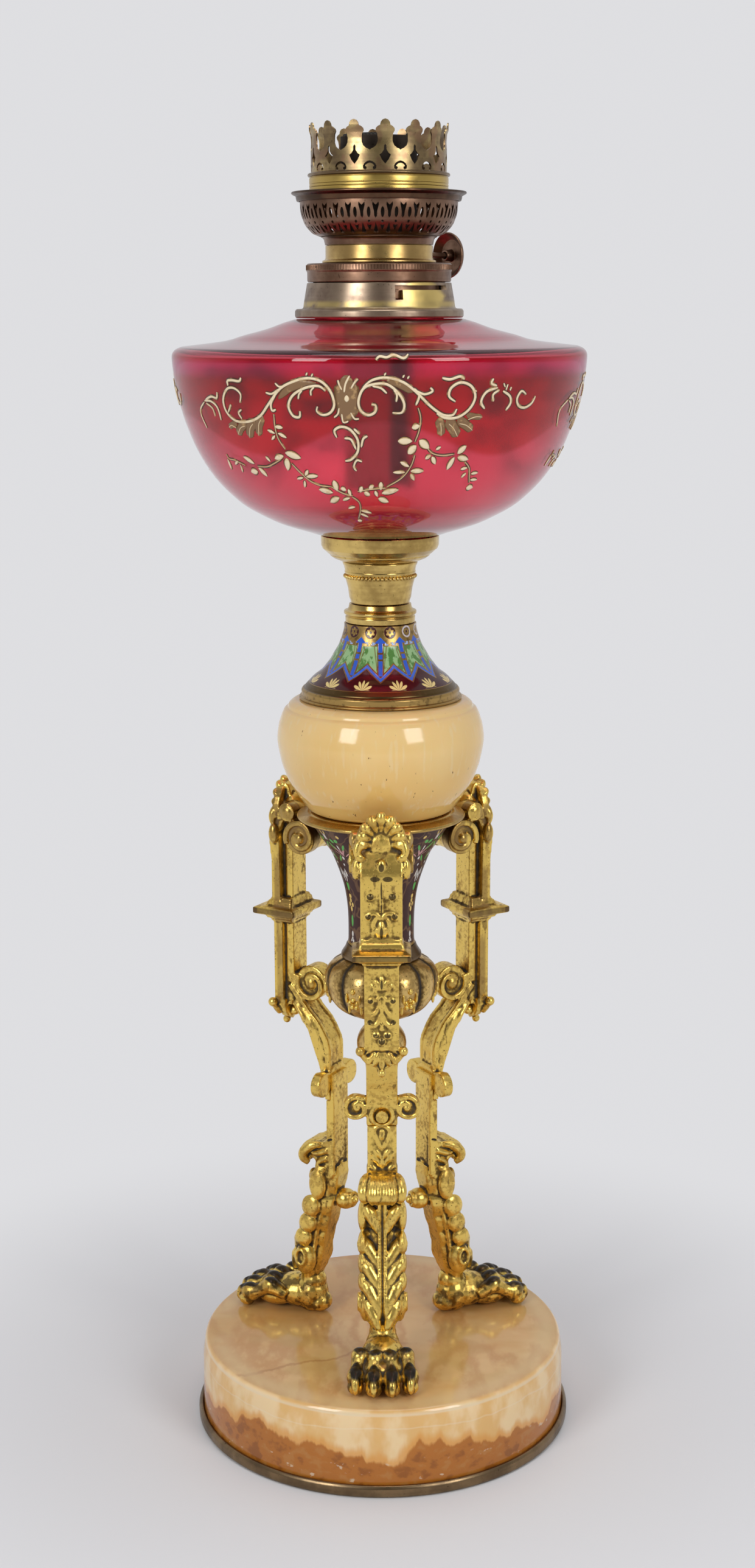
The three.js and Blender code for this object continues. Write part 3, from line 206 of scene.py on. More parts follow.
# %% Finishes
THIRD = math.radians(120)
FROM_FRONT = math.radians(90 + 360)


class Finish:
    def __init__(self, name, colour, **flat):
        self.material = bpy.data.materials.new(name)
        self.material.use_nodes = True
        self.tree = self.material.node_tree
        self.shader = self.tree.nodes["Principled BSDF"]
        self.colour = (*colour, 1)
        self.shader.inputs["Base Color"].default_value = self.colour
        for socket, value in flat.items():
            self.shader.inputs[socket.replace("_", " ")].default_value = value
        self.place = node(self.tree, "ShaderNodeTexCoord").outputs["Object"]
        parts = node(self.tree, "ShaderNodeSeparateXYZ", {0: self.place})
        self.x, self.y, self.z = (Field(self.tree, parts.outputs[i]) * 1000 for i in range(3))
        self.angle = self.x.sum("ARCTAN2", self.y, self.x)
        self.radius = self.x.sum("SQRT", self.x * self.x + self.y * self.y)
        print("finish", name)

    def from_front(self, span):
        """The angle from the nearest of the directions that lie span apart, counted from the front."""
        return (self.angle + FROM_FRONT).fold(span)

    def in_leg(self):
        """Out and across, in millimetres, as each of the three legs has them."""
        turn = self.from_front(THIRD)
        return self.radius * turn.cosine(), self.radius * turn.sum("SINE", turn)

    def noise(self, grain, detail=3, stretch=(1, 1, 1), shift=(0, 0, 0)):
        """A cloudy field from 0 to 1, with clouds about grain millimetres across."""
        wires = {"Vector": self.place, "Scale": stretch, "Location": shift}
        lean = node(self.tree, "ShaderNodeMapping", wires)
        wires = {"Vector": lean.outputs[0], "Scale": 1000 / grain, "Detail": detail}
        return Field(self.tree, node(self.tree, "ShaderNodeTexNoise", wires).outputs[0])

    def attribute(self, name):
        made = node(self.tree, "ShaderNodeAttribute", attribute_name=name)
        return Field(self.tree, made.outputs["Fac"])

    def layer(self, colour, mask):
        self.colour = mixed(self.tree, mask.socket, self.colour, (*colour, 1))
        self.tree.links.new(self.colour, self.shader.inputs["Base Color"])

    def drive(self, socket, field):
        self.tree.links.new(field.socket, self.shader.inputs[socket])

    def relief(self, field, depth, strength=1.0):
        """Relief as deep as depth millimetres, on top of what is there."""
        wires = {"Height": field.socket, "Distance": depth * MM, "Strength": strength}
        bump = node(self.tree, "ShaderNodeBump", wires)
        normal = self.shader.inputs["Normal"]
        if normal.is_linked:
            self.tree.links.new(normal.links[0].from_socket, bump.inputs["Normal"])
        self.tree.links.new(bump.outputs[0], normal)


# %% [markdown]
# ### Gilt bronze
# The castings are fire-gilt: a warm yellow on the worn high places, thin and brown where it was rubbed off,
# and nearly black in the hollows, where old polish and soot sit. The hollows come from a number on each
# vertex, called hollow, that is worked out from the form itself in a later cell.

# %% Gilt
GOLD, RUBBED_GOLD = (0.88, 0.615, 0.15), (0.50, 0.305, 0.075)
WARM_BROWN, GRIME = (0.20, 0.12, 0.04), (0.13, 0.078, 0.026)
SOOT, PIT = (0.022, 0.014, 0.008), (0.045, 0.028, 0.013)


def gilt_finish(name, colour=GOLD, brown=RUBBED_GOLD, worn=0.6):
    made = Finish(name, colour, Metallic=1.0)
    cloud = made.noise(14, 4)
    fine = made.noise(1.8, 3)
    hollow = made.attribute("hollow")
    rubbed = (cloud * 0.6 + fine * 0.5).over(worn, 0.07)
    made.layer(brown, rubbed * 0.7)
    streak = made.noise(3.2, 4, stretch=(1, 1, 0.35), shift=(0.2, 0.5, 0.3)).over(0.66, 0.03)
    made.layer(WARM_BROWN, streak * 0.7)
    grime = (hollow + (fine - 0.5) * 0.5).over(0.2, 0.14)
    made.layer(GRIME, grime * 0.9)
    deep = (hollow + (fine - 0.5) * 0.35).over(0.46, 0.15)
    made.layer(SOOT, deep * 0.97)
    pits = made.noise(0.9, 2, shift=(0.4, 0.1, 0.2)).over(0.68, 0.02)
    made.layer(PIT, pits * 0.85)
    made.drive("Metallic", 1 - deep * 0.8)
    made.drive("Roughness", 0.3 + rubbed * 0.1 + streak * 0.12 + grime * 0.25 + (fine - 0.5) * 0.1)
    made.relief(made.noise(6, 3), 0.3, 0.8)
    made.relief(fine, 0.09, 0.8)
    made.relief(pits, 0.12, 0.6)
    return made


gilt = gilt_finish("gilt_bronze")
old_gilt = gilt_finish("worn_gilt", (0.72, 0.49, 0.17), (0.40, 0.25, 0.085), 0.56)
print(len(gilt.tree.nodes), "nodes in the gilt")
leg_gilt = gilt_finish("leg_gilt")
bracket_gilt = gilt_finish("bracket_gilt")

# %% [markdown]
# The paws are nearly black on their knuckles and nails. Each leg's own out and across come back from the
# angle folded into thirds, so that one set of ovals marks all the toes.

# %% Dark toes
DARK_NAIL, ANKLE_BROWN = (0.045, 0.036, 0.028), (0.10, 0.065, 0.03)
KNUCKLE_BACK, KNUCKLE_IN = 13.0, 0.86
out, across = leg_gilt.in_leg()
toes = leg_gilt.z * 0
for middle, far in ((4.25, 73.5), (12.6, 70.8)):
    for back, narrow, half, long, level in (
        (0, 1, 2.9, 6.0, 48.0), (KNUCKLE_BACK, KNUCKLE_IN, 3.1, 4.6, 53.6),
    ):
        side = (across - middle * narrow) / half
        ahead = (out - (far - back)) / long
        toes = toes.most((side * side + ahead * ahead).under(1, 0.3) * leg_gilt.z.over(level, 0.8))
patchy = (leg_gilt.noise(4, 4) + toes * 0.4).over(0.6, 0.08)
leg_gilt.layer(DARK_NAIL, toes * patchy)
ankle = leg_gilt.z.under(61, 2.5) * leg_gilt.noise(5, 5, shift=(0.3, 0.3, 0)).over(0.56, 0.05)
leg_gilt.layer(ANKLE_BROWN, ankle * 0.8)
print(len(leg_gilt.tree.nodes), "nodes in the finish of the legs")

# %% [markdown]
# The brackets keep the same kind of old polish on the tops of their small beads and leaves and on the edge of
# the moulding. Their sides get a thin brown, which is painted shade.

# %% Dark accents on the brackets
out, across = bracket_gilt.in_leg()
up = bracket_gilt.z
# Painted shade: a thin brown over the side faces of the pilaster, in stretched patches.
sides = across.over(7.2, 0.5) * out.under(54.5, 0.8) * up.over(206, 2)
side_shade_patches = bracket_gilt.noise(7, 3, stretch=(1, 1, 0.3), shift=(0.7, 0.1, 0)).over(0.42, 0.1)
bracket_gilt.layer((0.34, 0.205, 0.07), sides * side_shade_patches * 0.75)
rim = up.near(252.2, 1.3, 0.4) * (out.over(62.5, 0.8) + across.over(12, 0.5))
bracket_gilt.layer((0.16, 0.10, 0.045), rim * 0.75)
accents = up * 0
for place, level, half, tall in (
    (0, 292.8, 1.3, 2.0), (2.9, 287.5, 2.3, 1.2), (0, 282, 0.4, 4.5), (0, 274.5, 0.35, 3.5),
    (5.0, 279.1, 1.7, 1.6), (6.0, 269.8, 1.4, 1.3), (0, 262, 0.8, 3.0), (2.6, 213.2, 1.5, 1.2),
    (0, 210.4, 1.6, 1.6), (5.2, 229.7, 1.3, 1.1), (5.4, 219.6, 1.2, 1.2), (0, 237.6, 0.6, 2.4),
):
    aside = (across - place) / half
    along = (up - level) / tall
    accents = accents.most((aside * aside + along * along).under(1, 0.3))
worn_off = (bracket_gilt.noise(2.5, 3) + accents * 0.3).over(0.6, 0.08)
bracket_gilt.layer((0.06, 0.043, 0.026), accents * worn_off * out.over(55.2, 0.3) * 0.9)
print(len(bracket_gilt.tree.nodes), "nodes in the finish of the brackets")

# %% [markdown]
# ### Turned brass and bronze
# These are spun or turned, so their scratches run round the axis. Each has its own age: the burner's outer
# shells are toned a warm brown, the band under the gallery is still bright, and the tubes are sooty.


# %% Turned metals
def turned_metal(name, colour, toned, roughness, amount=0.5):
    made = Finish(name, colour, Metallic=1.0)
    rings = made.noise(1.6, 2, stretch=(0.03, 0.03, 1.0))
    cloud = made.noise(18, 4, shift=(0.3, 0, 0))
    fine = made.noise(3, 3)
    mask = (cloud * 0.75 + rings * 0.15 + fine * 0.2).over(0.55, 0.13)
    made.layer(toned, mask * amount)
    specks = made.noise(1.3, 2, shift=(0, 0.7, 0)).over(0.71, 0.03)
    made.layer(tuple(part * 0.25 for part in toned), specks * 0.6)
    made.drive("Roughness", roughness + mask * 0.1 + (fine - 0.5) * 0.08)
    made.relief(rings, 0.03, 0.25)
    return made


bronze = turned_metal("dark_bronze", (0.27, 0.185, 0.10), (0.11, 0.075, 0.045), 0.28, 0.7)
dish_bronze = turned_metal("dish_bronze", (0.60, 0.40, 0.12), (0.30, 0.185, 0.05), 0.24, 0.7)
brown_brass = turned_metal("toned_brass", (0.27, 0.16, 0.105), (0.12, 0.062, 0.037), 0.3, 0.8)
ring_brown = turned_metal("ring_brown", (0.13, 0.07, 0.04), (0.05, 0.03, 0.02), 0.28, 0.8)
bright_brass = turned_metal("bright_brass", (0.66, 0.46, 0.17), (0.36, 0.22, 0.08), 0.22, 0.7)
column_gilt = turned_metal("column_gilt", (0.76, 0.54, 0.18), (0.28, 0.17, 0.05), 0.17, 0.75)
sooty = turned_metal("sooty_brass", (0.07, 0.055, 0.045), (0.02, 0.017, 0.015), 0.6)
steel = turned_metal("steel", (0.45, 0.44, 0.42), (0.22, 0.20, 0.18), 0.35)
dark_steel = turned_metal("dark_steel", (0.10, 0.085, 0.07), (0.04, 0.03, 0.025), 0.4)
print(len(steel.tree.nodes), "nodes in each turned metal")

# %% [markdown]
# ## Turned pieces
# A piece gets its finish, the body that it rides on and the solids that it stands for. A turned piece is its
# half outline swept round the axis, so it starts from a smooth outline.


# %% Pieces
def piece(name, mesh, finish, body="lamp", stands_for=()):
    thing = placed(name, mesh)
    mesh.materials.clear()
    mesh.materials.append(finish.material)
    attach(thing, body)
    if stands_for:
        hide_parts(*stands_for)
    print(f"{name}: {len(mesh.polygons)} faces, on {body}")
    return thing


def circle(x, y, radius, count):
    """Points round a circle."""
    turns = (2 * math.pi * i / count for i in range(count))
    return [(x + radius * math.cos(a), y + radius * math.sin(a)) for a in turns]


def through(points, steps=4):
    """Points of a smooth curve through the given ones."""
    given = [Vector(point) for point in points]
    smooth = []
    for i in range(len(given) - 1):
        a, b, c, d = (given[min(max(i + k, 0), len(given) - 1)] for k in (-1, 0, 1, 2))
        for t in (step / steps for step in range(steps)):
            bend = 2 * a - 5 * b + 4 * c - d
            twist = 3 * b - a - 3 * c + d
            smooth.append(0.5 * (2 * b + (c - a) * t + bend * t * t + twist * t * t * t))
    smooth.append(given[-1])
    return [tuple(point) for point in smooth]


# %% [markdown]
# A lathe leaves no perfectly sharp corner, so each corner of the outline becomes a short arc before the
# outline is swept. The Weighted Normal modifier then keeps the broad bands flat in the light and lets only
# the arcs catch a highlight.

# %% Turning
AROUND = 144
TINY = 1e-6


def eased(outline, reach):
    """The closed outline with its corners made into short arcs."""
    soft = []
    for i, corner in enumerate(outline):
        here = Vector(corner)
        back = Vector(outline[i - 1]) - here
        ahead = Vector(outline[(i + 1) % len(outline)]) - here
        if corner[0] < TINY or back.length < 1e-4 or ahead.length < 1e-4 or back.angle(ahead) > 2.7:
            soft.append(here)
            continue
        start = here + back.normalized() * min(reach, back.length * 0.4)
        end = here + ahead.normalized() * min(reach, ahead.length * 0.4)
        soft += [(1 - t) ** 2 * start + 2 * t * (1 - t) * here + t * t * end for t in (0, 0.33, 0.67, 1)]
    return [tuple(point) for point in soft]


def turned_form(outline, around=AROUND, reach=0.35):
    """A closed skin of a closed [radius, height] outline turned about the axis, as bmesh."""
    form = bmesh.new()
    rings = []
    for radius, height in eased(outline, reach):
        if radius < TINY:
            rings.append([form.verts.new((0, 0, height * MM))] * around)
        else:
            spots = circle(0, 0, radius * MM, around)
            rings.append([form.verts.new((x, y, height * MM)) for x, y in spots])
    for low, high in zip(rings, rings[1:] + rings[:1]):
        for i in range(around):
            k = (i + 1) % around
            corners = list(dict.fromkeys((low[i], low[k], high[k], high[i])))
            if len(corners) > 2:
                form.faces.new(corners)
    bmesh.ops.recalc_face_normals(form, faces=form.faces)
    return form


def mesh_of(form, name):
    for face in form.faces:
        face.smooth = True
    mesh = bpy.data.meshes.new(name)
    form.to_mesh(mesh)
    form.free()
    return mesh


def even_shading(thing):
    thing.modifiers.new("even shading", "WEIGHTED_NORMAL").keep_sharp = True
    return thing


def turned(name, outline, finish, body="lamp", reach=0.35):
    mesh = mesh_of(turned_form(outline, reach=reach), name)
    return even_shading(piece(name, mesh, finish, body, (name,)))


# %% [markdown]
# ### Cutting
# Holes, slots and windows are cut from the turned skin by a Boolean modifier, which is applied at once, as
# a drill would do it.


# %% Cutting
def settled(thing):
    """The thing with its modifiers worked into its mesh."""
    graph = bpy.context.evaluated_depsgraph_get()
    mesh = bpy.data.meshes.new_from_object(thing.evaluated_get(graph), depsgraph=graph)
    thing.modifiers.clear()
    old = thing.data
    thing.data = mesh
    mesh.name = thing.name
    bpy.data.meshes.remove(old)
    return thing


def cut_from(mesh, cutters):
    """The mesh without the cutter forms."""
    thing = placed("blank", mesh)
    tools = [placed("tool", mesh_of(form, "tool")) for form in cutters]
    for tool in tools:
        cut = thing.modifiers.new("cut", "BOOLEAN")
        cut.object = tool
        cut.solver = "EXACT"
    result = settled(thing).data
    for spent in (*tools, thing):
        bpy.data.objects.remove(spent)
    return result


def sharpened(mesh, degrees):
    """The mesh with its edges over this angle kept sharp."""
    mesh.set_sharp_from_angle(angle=math.radians(degrees))
    return mesh


# %% Rods and ring sectors
def rod_form(x, y, radius, low, high):
    form = turned_form([(0, low), (radius, low), (radius, high), (0, high)], 24, 0.01)
    bmesh.ops.translate(form, verts=form.verts, vec=(x * MM, y * MM, 0))
    return form


def block_form(size, place, turn=0):
    """A block of this size, turned about its own upright axis and moved to its place."""
    form = bmesh.new()
    bmesh.ops.create_cube(form, size=1)
    bmesh.ops.scale(form, verts=form.verts, vec=Vector(size) * MM)
    bmesh.ops.rotate(form, verts=form.verts, matrix=Matrix.Rotation(math.radians(turn), 3, "Z"))
    bmesh.ops.translate(form, verts=form.verts, vec=Vector(place) * MM)
    return form


def sector_form(inner, outer, start, end, low, high):
    """A ring sector between two angles in degrees, from the front of the lamp."""
    form = bmesh.new()
    steps = max(2, int((end - start) / 4))
    rows = []
    for i in range(steps + 1):
        turn = math.radians(-90 + start + (end - start) * i / steps)
        rows.append([
            form.verts.new((r * MM * math.cos(turn), r * MM * math.sin(turn), z * MM))
            for r, z in ((inner, low), (outer, low), (outer, high), (inner, high))
        ])
    for here, there in zip(rows, rows[1:]):
        for k in range(4):
            form.faces.new((here[k], here[(k + 1) % 4], there[(k + 1) % 4], there[k]))
    form.faces.new(rows[0][::-1])
    form.faces.new(rows[-1])
    bmesh.ops.recalc_face_normals(form, faces=form.faces)
    return form


# %% [markdown]
# ## Geometry Nodes that repeat and shape
# Beads, petals, perforations and knurls are one small form repeated round the axis. One tree does it: its
# inputs are how many, the first one's angle and the material. The copies are made real at the end.


# %% Trees and their inputs
def new_tree(name, *inputs):
    tree = bpy.data.node_groups.new(name, "GeometryNodeTree")
    tree.interface.new_socket("Geometry", in_out="INPUT", socket_type="NodeSocketGeometry")
    for label, kind in inputs:
        tree.interface.new_socket(label, in_out="INPUT", socket_type="NodeSocket" + kind)
    tree.interface.new_socket("Geometry", in_out="OUTPUT", socket_type="NodeSocketGeometry")
    start = tree.nodes.new("NodeGroupInput")
    end = tree.nodes.new("NodeGroupOutput")
    return tree, start.outputs, end.inputs[0]


def rule(tree, operation, *values):
    """The result of one Math node."""
    return node(tree, "ShaderNodeMath", dict(enumerate(values)), operation=operation).outputs[0]


def shaped(name, mesh, tree, **values):
    """The mesh after a Geometry Nodes tree, with the tree's named inputs set."""
    thing = placed(name, mesh)
    step = thing.modifiers.new("shape", "NODES")
    step.node_group = tree
    for item in tree.interface.items_tree:
        label = item.name.replace(" ", "_")
        if item.item_type == "SOCKET" and item.in_out == "INPUT" and label in values:
            step[item.identifier] = values[label]
    result = settled(thing).data
    bpy.data.objects.remove(thing)
    return result


# %% A ring of copies
ring_tree, given, result = new_tree(
    "ring_of_copies", ("Count", "Int"), ("First angle", "Float"), ("Weld", "Float"), ("Material", "Material")
)
spots = node(ring_tree, "GeometryNodeMeshLine", {"Count": given["Count"], "Offset": (0, 0, 0)})
number = node(ring_tree, "GeometryNodeInputIndex").outputs[0]
share = rule(ring_tree, "DIVIDE", number, given["Count"])
turn = rule(ring_tree, "MULTIPLY_ADD", share, 2 * math.pi, given["First angle"])
upright = node(ring_tree, "ShaderNodeCombineXYZ", {2: turn}).outputs[0]
wires = {"Points": spots.outputs[0], "Instance": given["Geometry"], "Rotation": upright}
copies = node(ring_tree, "GeometryNodeInstanceOnPoints", wires)
real = node(ring_tree, "GeometryNodeRealizeInstances", {0: copies.outputs[0]})
wires = {"Geometry": real.outputs[0], "Distance": given["Weld"]}
welded = node(ring_tree, "GeometryNodeMergeByDistance", wires)
wires = {"Geometry": welded.outputs[0], "Material": given["Material"]}
painted = node(ring_tree, "GeometryNodeSetMaterial", wires)
ring_tree.links.new(painted.outputs[0], result)
print(len(ring_tree.nodes), "nodes in", ring_tree.name)


# %% Rings and joined meshes
def ring_of(name, form, count, finish, first=0.0, weld=0.0):
    """The form, which lies at the front of the lamp, repeated round the axis."""
    values = {"Count": count, "First_angle": math.radians(first), "Weld": weld * MM}
    return shaped(name, mesh_of(form, name), ring_tree, Material=finish.material, **values)


def joined(name, *meshes):
    """Several meshes as one."""
    form = bmesh.new()
    for mesh in meshes:
        form.from_mesh(mesh)
    return mesh_of(form, name)


def ball_form(place, radii, around=12, rings=8):
    form = bmesh.new()
    bmesh.ops.create_uvsphere(form, u_segments=around, v_segments=rings, radius=MM)
    bmesh.ops.scale(form, verts=form.verts, vec=radii)
    bmesh.ops.translate(form, verts=form.verts, vec=Vector(place) * MM)
    return form


# %% [markdown]
# ## Foot
# The foot is a thick disc of banded onyx in a shallow bronze pan. Its top is a cloudy honey colour with a
# dark seam. On its side the stone is cut across its bands, so pale and rust bands with ragged borders show.

# %% Onyx of the foot
onyx_foot = Finish(
    "onyx_foot", (0.60, 0.335, 0.115), Roughness=0.12, Subsurface_Weight=0.08, Subsurface_Scale=0.004
)
swirl = onyx_foot.noise(70, 4, stretch=(1, 1.5, 0.8), shift=(0.13, 0.02, 0))
veins = onyx_foot.noise(30, 5, stretch=(1.5, 0.7, 0.9), shift=(0.02, 0.3, 0.1))
onyx_foot.layer((0.70, 0.46, 0.22), swirl.over(0.54, 0.1) * 0.75)
onyx_foot.layer((0.48, 0.225, 0.07), veins.near(0.45, 0.05, 0.05) * 0.6)
onyx_foot.layer((0.52, 0.33, 0.11), onyx_foot.noise(40, 3, shift=(0.5, 0.1, 0)).over(0.58, 0.1) * 0.6)
seam = (onyx_foot.x * 0.45 - onyx_foot.y - 22 + (veins - 0.5) * 26).near(0, 1.1, 0.9)
onyx_foot.layer((0.38, 0.17, 0.06), seam * onyx_foot.x.under(10, 8) * 0.6)
onyx_foot.layer((0.66, 0.47, 0.24), onyx_foot.radius.near(82, 5, 5) * swirl.over(0.44, 0.1) * 0.6)
print(len(onyx_foot.tree.nodes), "nodes before the side bands")

# %% Bands on the side of the foot
edge_zone = onyx_foot.radius.over(87.2, 0.8)
tall = onyx_foot.noise(34, 3, stretch=(1, 1, 0.35), shift=(0.05, 0.6, 0))
flame = onyx_foot.noise(7, 4, stretch=(1, 1, 0.22), shift=(0.3, 0.3, 0))
side = onyx_foot.z - 19.5 - (tall - 0.5) * 40 - (flame - 0.5) * 14
rust = onyx_foot.noise(9, 5, stretch=(1, 1, 1.4), shift=(0.9, 0.2, 0))
onyx_foot.layer((0.80, 0.49, 0.18), edge_zone * 0.85)
pale = onyx_foot.noise(20, 4, stretch=(1, 1, 0.6)).over(0.5, 0.08)
onyx_foot.layer((0.87, 0.66, 0.38), edge_zone * pale * 0.9)
onyx_foot.layer((0.72, 0.33, 0.07), edge_zone * side.under(4.5, 2.5) * 0.8)
onyx_foot.layer((0.45, 0.155, 0.02), edge_zone * side.under(0.8, 1.0))
onyx_foot.layer((0.20, 0.055, 0.008), edge_zone * side.under(-1, 1.5) * rust.over(0.57, 0.05) * 0.55)
onyx_foot.layer((0.48, 0.20, 0.045), edge_zone * side.under(-1, 1.5) * rust.under(0.42, 0.05) * 0.8)
flecks = onyx_foot.noise(6, 3, stretch=(1, 1, 1.6)).over(0.68, 0.03) * edge_zone * onyx_foot.z.under(17, 4)
onyx_foot.layer((0.72, 0.55, 0.38), flecks * 0.8)
pale_line = (onyx_foot.z - 34.5 + (swirl - 0.5) * 16).near(0, 0.35, 0.25) * edge_zone
onyx_foot.layer((0.86, 0.76, 0.58), pale_line * 0.25)
# A painted highlight: a pale line round the top of the side, just under the chamfer.
onyx_foot.layer((0.80, 0.66, 0.46), onyx_foot.radius.near(88.6, 0.7, 0.4) * onyx_foot.z.over(39.5, 0.5) * 0.7)
print(len(onyx_foot.tree.nodes), "nodes in the foot's onyx")

# %% [markdown]
# The vase is a clearer stone of the same kind: honey below, paler above, with faint upright streaks and a few
# dark pores in one patch.

# %% Onyx of the vase
onyx_vase = Finish(
    "onyx_vase", (0.80, 0.53, 0.19), Roughness=0.1, Subsurface_Weight=0.12, Subsurface_Scale=0.006
)
haze = onyx_vase.noise(30, 3, stretch=(1, 1, 0.35))
onyx_vase.layer((0.86, 0.62, 0.28), (haze + (onyx_vase.z - 335) * 0.02).over(0.6, 0.3) * 0.8)
onyx_vase.layer((0.80, 0.49, 0.14), (onyx_vase.z + (haze - 0.5) * 22).under(327, 12) * 0.6)
streaks = onyx_vase.noise(2.6, 3, stretch=(1, 1, 0.06)).over(0.62, 0.06)
onyx_vase.layer((0.82, 0.66, 0.38), streaks * 0.35)
pore = onyx_vase.noise(1.9, 2, stretch=(1, 1, 0.4), shift=(0.2, 0.5, 0)).over(0.735, 0.02)
patch = onyx_vase.noise(24, 2, shift=(0.9, 0, 0)).over(0.5, 0.08)
onyx_vase.layer((0.22, 0.11, 0.035), pore * patch)
onyx_vase.relief(pore * patch, -0.2, 0.8)
print(len(onyx_vase.tree.nodes), "nodes in the onyx of the vase")

# %% [markdown]
# Three screws go up through the foot into the paws, so the pan has three access holes and the onyx three
# stepped ones.

# %% Foot pieces
SCREW_CIRCLE, ACCESS, SHAFT = 56, 7.5, 3
LEGS = {"front": -90, "right": 30, "left": 150}
screw_spots = [
    (SCREW_CIRCLE * math.cos(math.radians(angle)), SCREW_CIRCLE * math.sin(math.radians(angle)))
    for angle in LEGS.values()
]
pan = turned_form(
    [(0, 0), (91, 0), (92, 1.2), (92, 4.6), (91.2, 6), (89.9, 6), (89.9, 2), (0, 2)], reach=0.5
)
pan_mesh = cut_from(mesh_of(pan, "pan"), [rod_form(x, y, ACCESS, -1, 3) for x, y in screw_spots])
piece("base_plate", pan_mesh, bronze, stands_for=("base_plate",))

slab = turned_form([(0, 2.3), (89.6, 2.3), (89.3, 33.2), (88.2, 40.6), (86.9, 42.4), (0, 42.4)], reach=0.9)
slab_holes = [rod_form(x, y, ACCESS, 1, 8.3) for x, y in screw_spots]
slab_holes += [rod_form(x, y, SHAFT, 1, 44) for x, y in screw_spots]
slab_mesh = sharpened(cut_from(mesh_of(slab, "slab"), slab_holes), 32)
piece("onyx_base", slab_mesh, onyx_foot, stands_for=("onyx_base",))

# %% [markdown]
# ## Column
# From the finial up, the column is a stack of turned pieces on one tie rod: knop, collar, trumpet, dish,
# vase, cone, spool, socket and cup. Each outline starts and ends in the bore for the rod.


# %% Finial, collar and dish
def stacked(outline, bore=4.5):
    return [(bore, outline[0][1]), *outline, (bore, outline[-1][1])]


ball = [(12 * math.cos(math.radians(a)), 191 + 12 * math.sin(math.radians(a))) for a in range(-84, 49, 6)]
finial = [(0, 178.9), *ball, (8.2, 201), (8.4, 203.4), (9.5, 204.9), (4.5, 204.9), (4.5, 190.9), (0, 190.9)]
turned("finial", finial, old_gilt)
turned("knop_collar", stacked([(19.3, 235.5), (19.3, 236.7), (17.4, 239.6), (16.6, 241.7)]), bronze)
dish = [
    (38.4, 303.5), (39.6, 303.9), (40, 304.7), (39.6, 305.5), (35.2, 306.3), (34.4, 306.6), (33.9, 307.2),
    (32.8, 307.3),
]
turned("dish_ring", stacked(dish), dish_bronze)

# %% Vase, spool and cup
vase = through([
    (32.4, 307.6), (34.7, 309), (37.9, 313.3), (41, 317.5), (43.6, 322), (45.3, 326.5), (46.8, 331),
    (48.3, 338.3), (48.7, 343), (48, 348.5), (47.2, 351.4), (46.2, 354.3), (45.1, 356.3),
]) + [(44.3, 356.9), (43.6, 357.2), (43.2, 358.6), (41.6, 360), (39.4, 361)]
spool = [
    (16.2, 397), (16.3, 399.7), (15.7, 400.2), (16.9, 401), (16.9, 402.3), (15.2, 403), (14.7, 404),
    (14.4, 405.7),
]
cup = [
    (18.3, 425.6), (21.6, 427), (23.1, 428.1), (23.3, 428.7), (24.4, 429.4), (25.2, 430.2), (26.6, 431.3),
    (27.3, 433), (27.4, 437.4), (26.2, 437.4), (26.2, 431.8), (24, 430.2),
]
turned("onyx_vase", stacked(vase), onyx_vase, reach=0.5)
turned("spool", stacked(spool), column_gilt)
turned("font_cup", stacked(cup), column_gilt, reach=0.25)

# %% [markdown]
# The knop is a gadrooned bulb: twelve swelling lobes with a sharp groove between each two. That is a rule, so
# Geometry Nodes make it: each point moves in towards the axis by the depth of the groove at its angle.

# %% Tree of the lobes
lobe_tree, given, result = new_tree(
    "lobes_round_the_axis", ("Lobes", "Int"), ("Depth", "Float"), ("Middle", "Float"), ("Reach", "Float")
)
spot = node(lobe_tree, "GeometryNodeInputPosition").outputs[0]
x, y, z = node(lobe_tree, "ShaderNodeSeparateXYZ", {0: spot}).outputs
lobe_angle = rule(lobe_tree, "MULTIPLY", rule(lobe_tree, "ARCTAN2", y, x), given["Lobes"])
wave = rule(lobe_tree, "ABSOLUTE", rule(lobe_tree, "COSINE", rule(lobe_tree, "MULTIPLY", lobe_angle, 0.5)))
groove = rule(lobe_tree, "SUBTRACT", 1.0, rule(lobe_tree, "POWER", wave, 0.42))
off = rule(lobe_tree, "DIVIDE", rule(lobe_tree, "SUBTRACT", z, given["Middle"]), given["Reach"])
fade = rule(lobe_tree, "SUBTRACT", 1.0, rule(lobe_tree, "MULTIPLY", off, off))
pull = rule(lobe_tree, "MULTIPLY", groove, rule(lobe_tree, "MAXIMUM", fade, 0.0))
shrink = rule(lobe_tree, "SUBTRACT", 1.0, rule(lobe_tree, "MULTIPLY", pull, given["Depth"]))
flat = node(lobe_tree, "ShaderNodeCombineXYZ", {0: shrink, 1: shrink, 2: 1.0}).outputs[0]
drawn_in = node(lobe_tree, "ShaderNodeVectorMath", {0: spot, 1: flat}, operation="MULTIPLY").outputs[0]
wires = {"Geometry": given["Geometry"], "Position": drawn_in}
moved = node(lobe_tree, "GeometryNodeSetPosition", wires).outputs[0]
wires = {"Geometry": moved, "Name": "hollow", "Value": rule(lobe_tree, "POWER", groove, 1.2)}
lobe_tree.links.new(node(lobe_tree, "GeometryNodeStoreNamedAttribute", wires).outputs[0], result)
print(len(lobe_tree.nodes), "nodes in", lobe_tree.name)

# %% Gadrooned knop
bulb = stacked(through([
    (10, 205.2), (17, 207.6), (22.5, 211.4), (26, 216.4), (27.4, 222.6), (26.9, 227.5), (24.4, 231.6),
    (18, 235.2),
]))
bulb_mesh = mesh_of(turned_form(bulb, 288), "knop")
bulb_mesh = shaped("gadrooned_knop", bulb_mesh, lobe_tree, Lobes=12, Depth=0.085, Middle=0.2205, Reach=0.0165)
piece("gadrooned_knop", bulb_mesh, old_gilt, stands_for=("gadrooned_knop",))

# %% [markdown]
# Every second lobe carries a small five-petalled flower in an oval frame. It is modelled once at the front of
# the knop from small balls, and the ring tree sets six of them round.

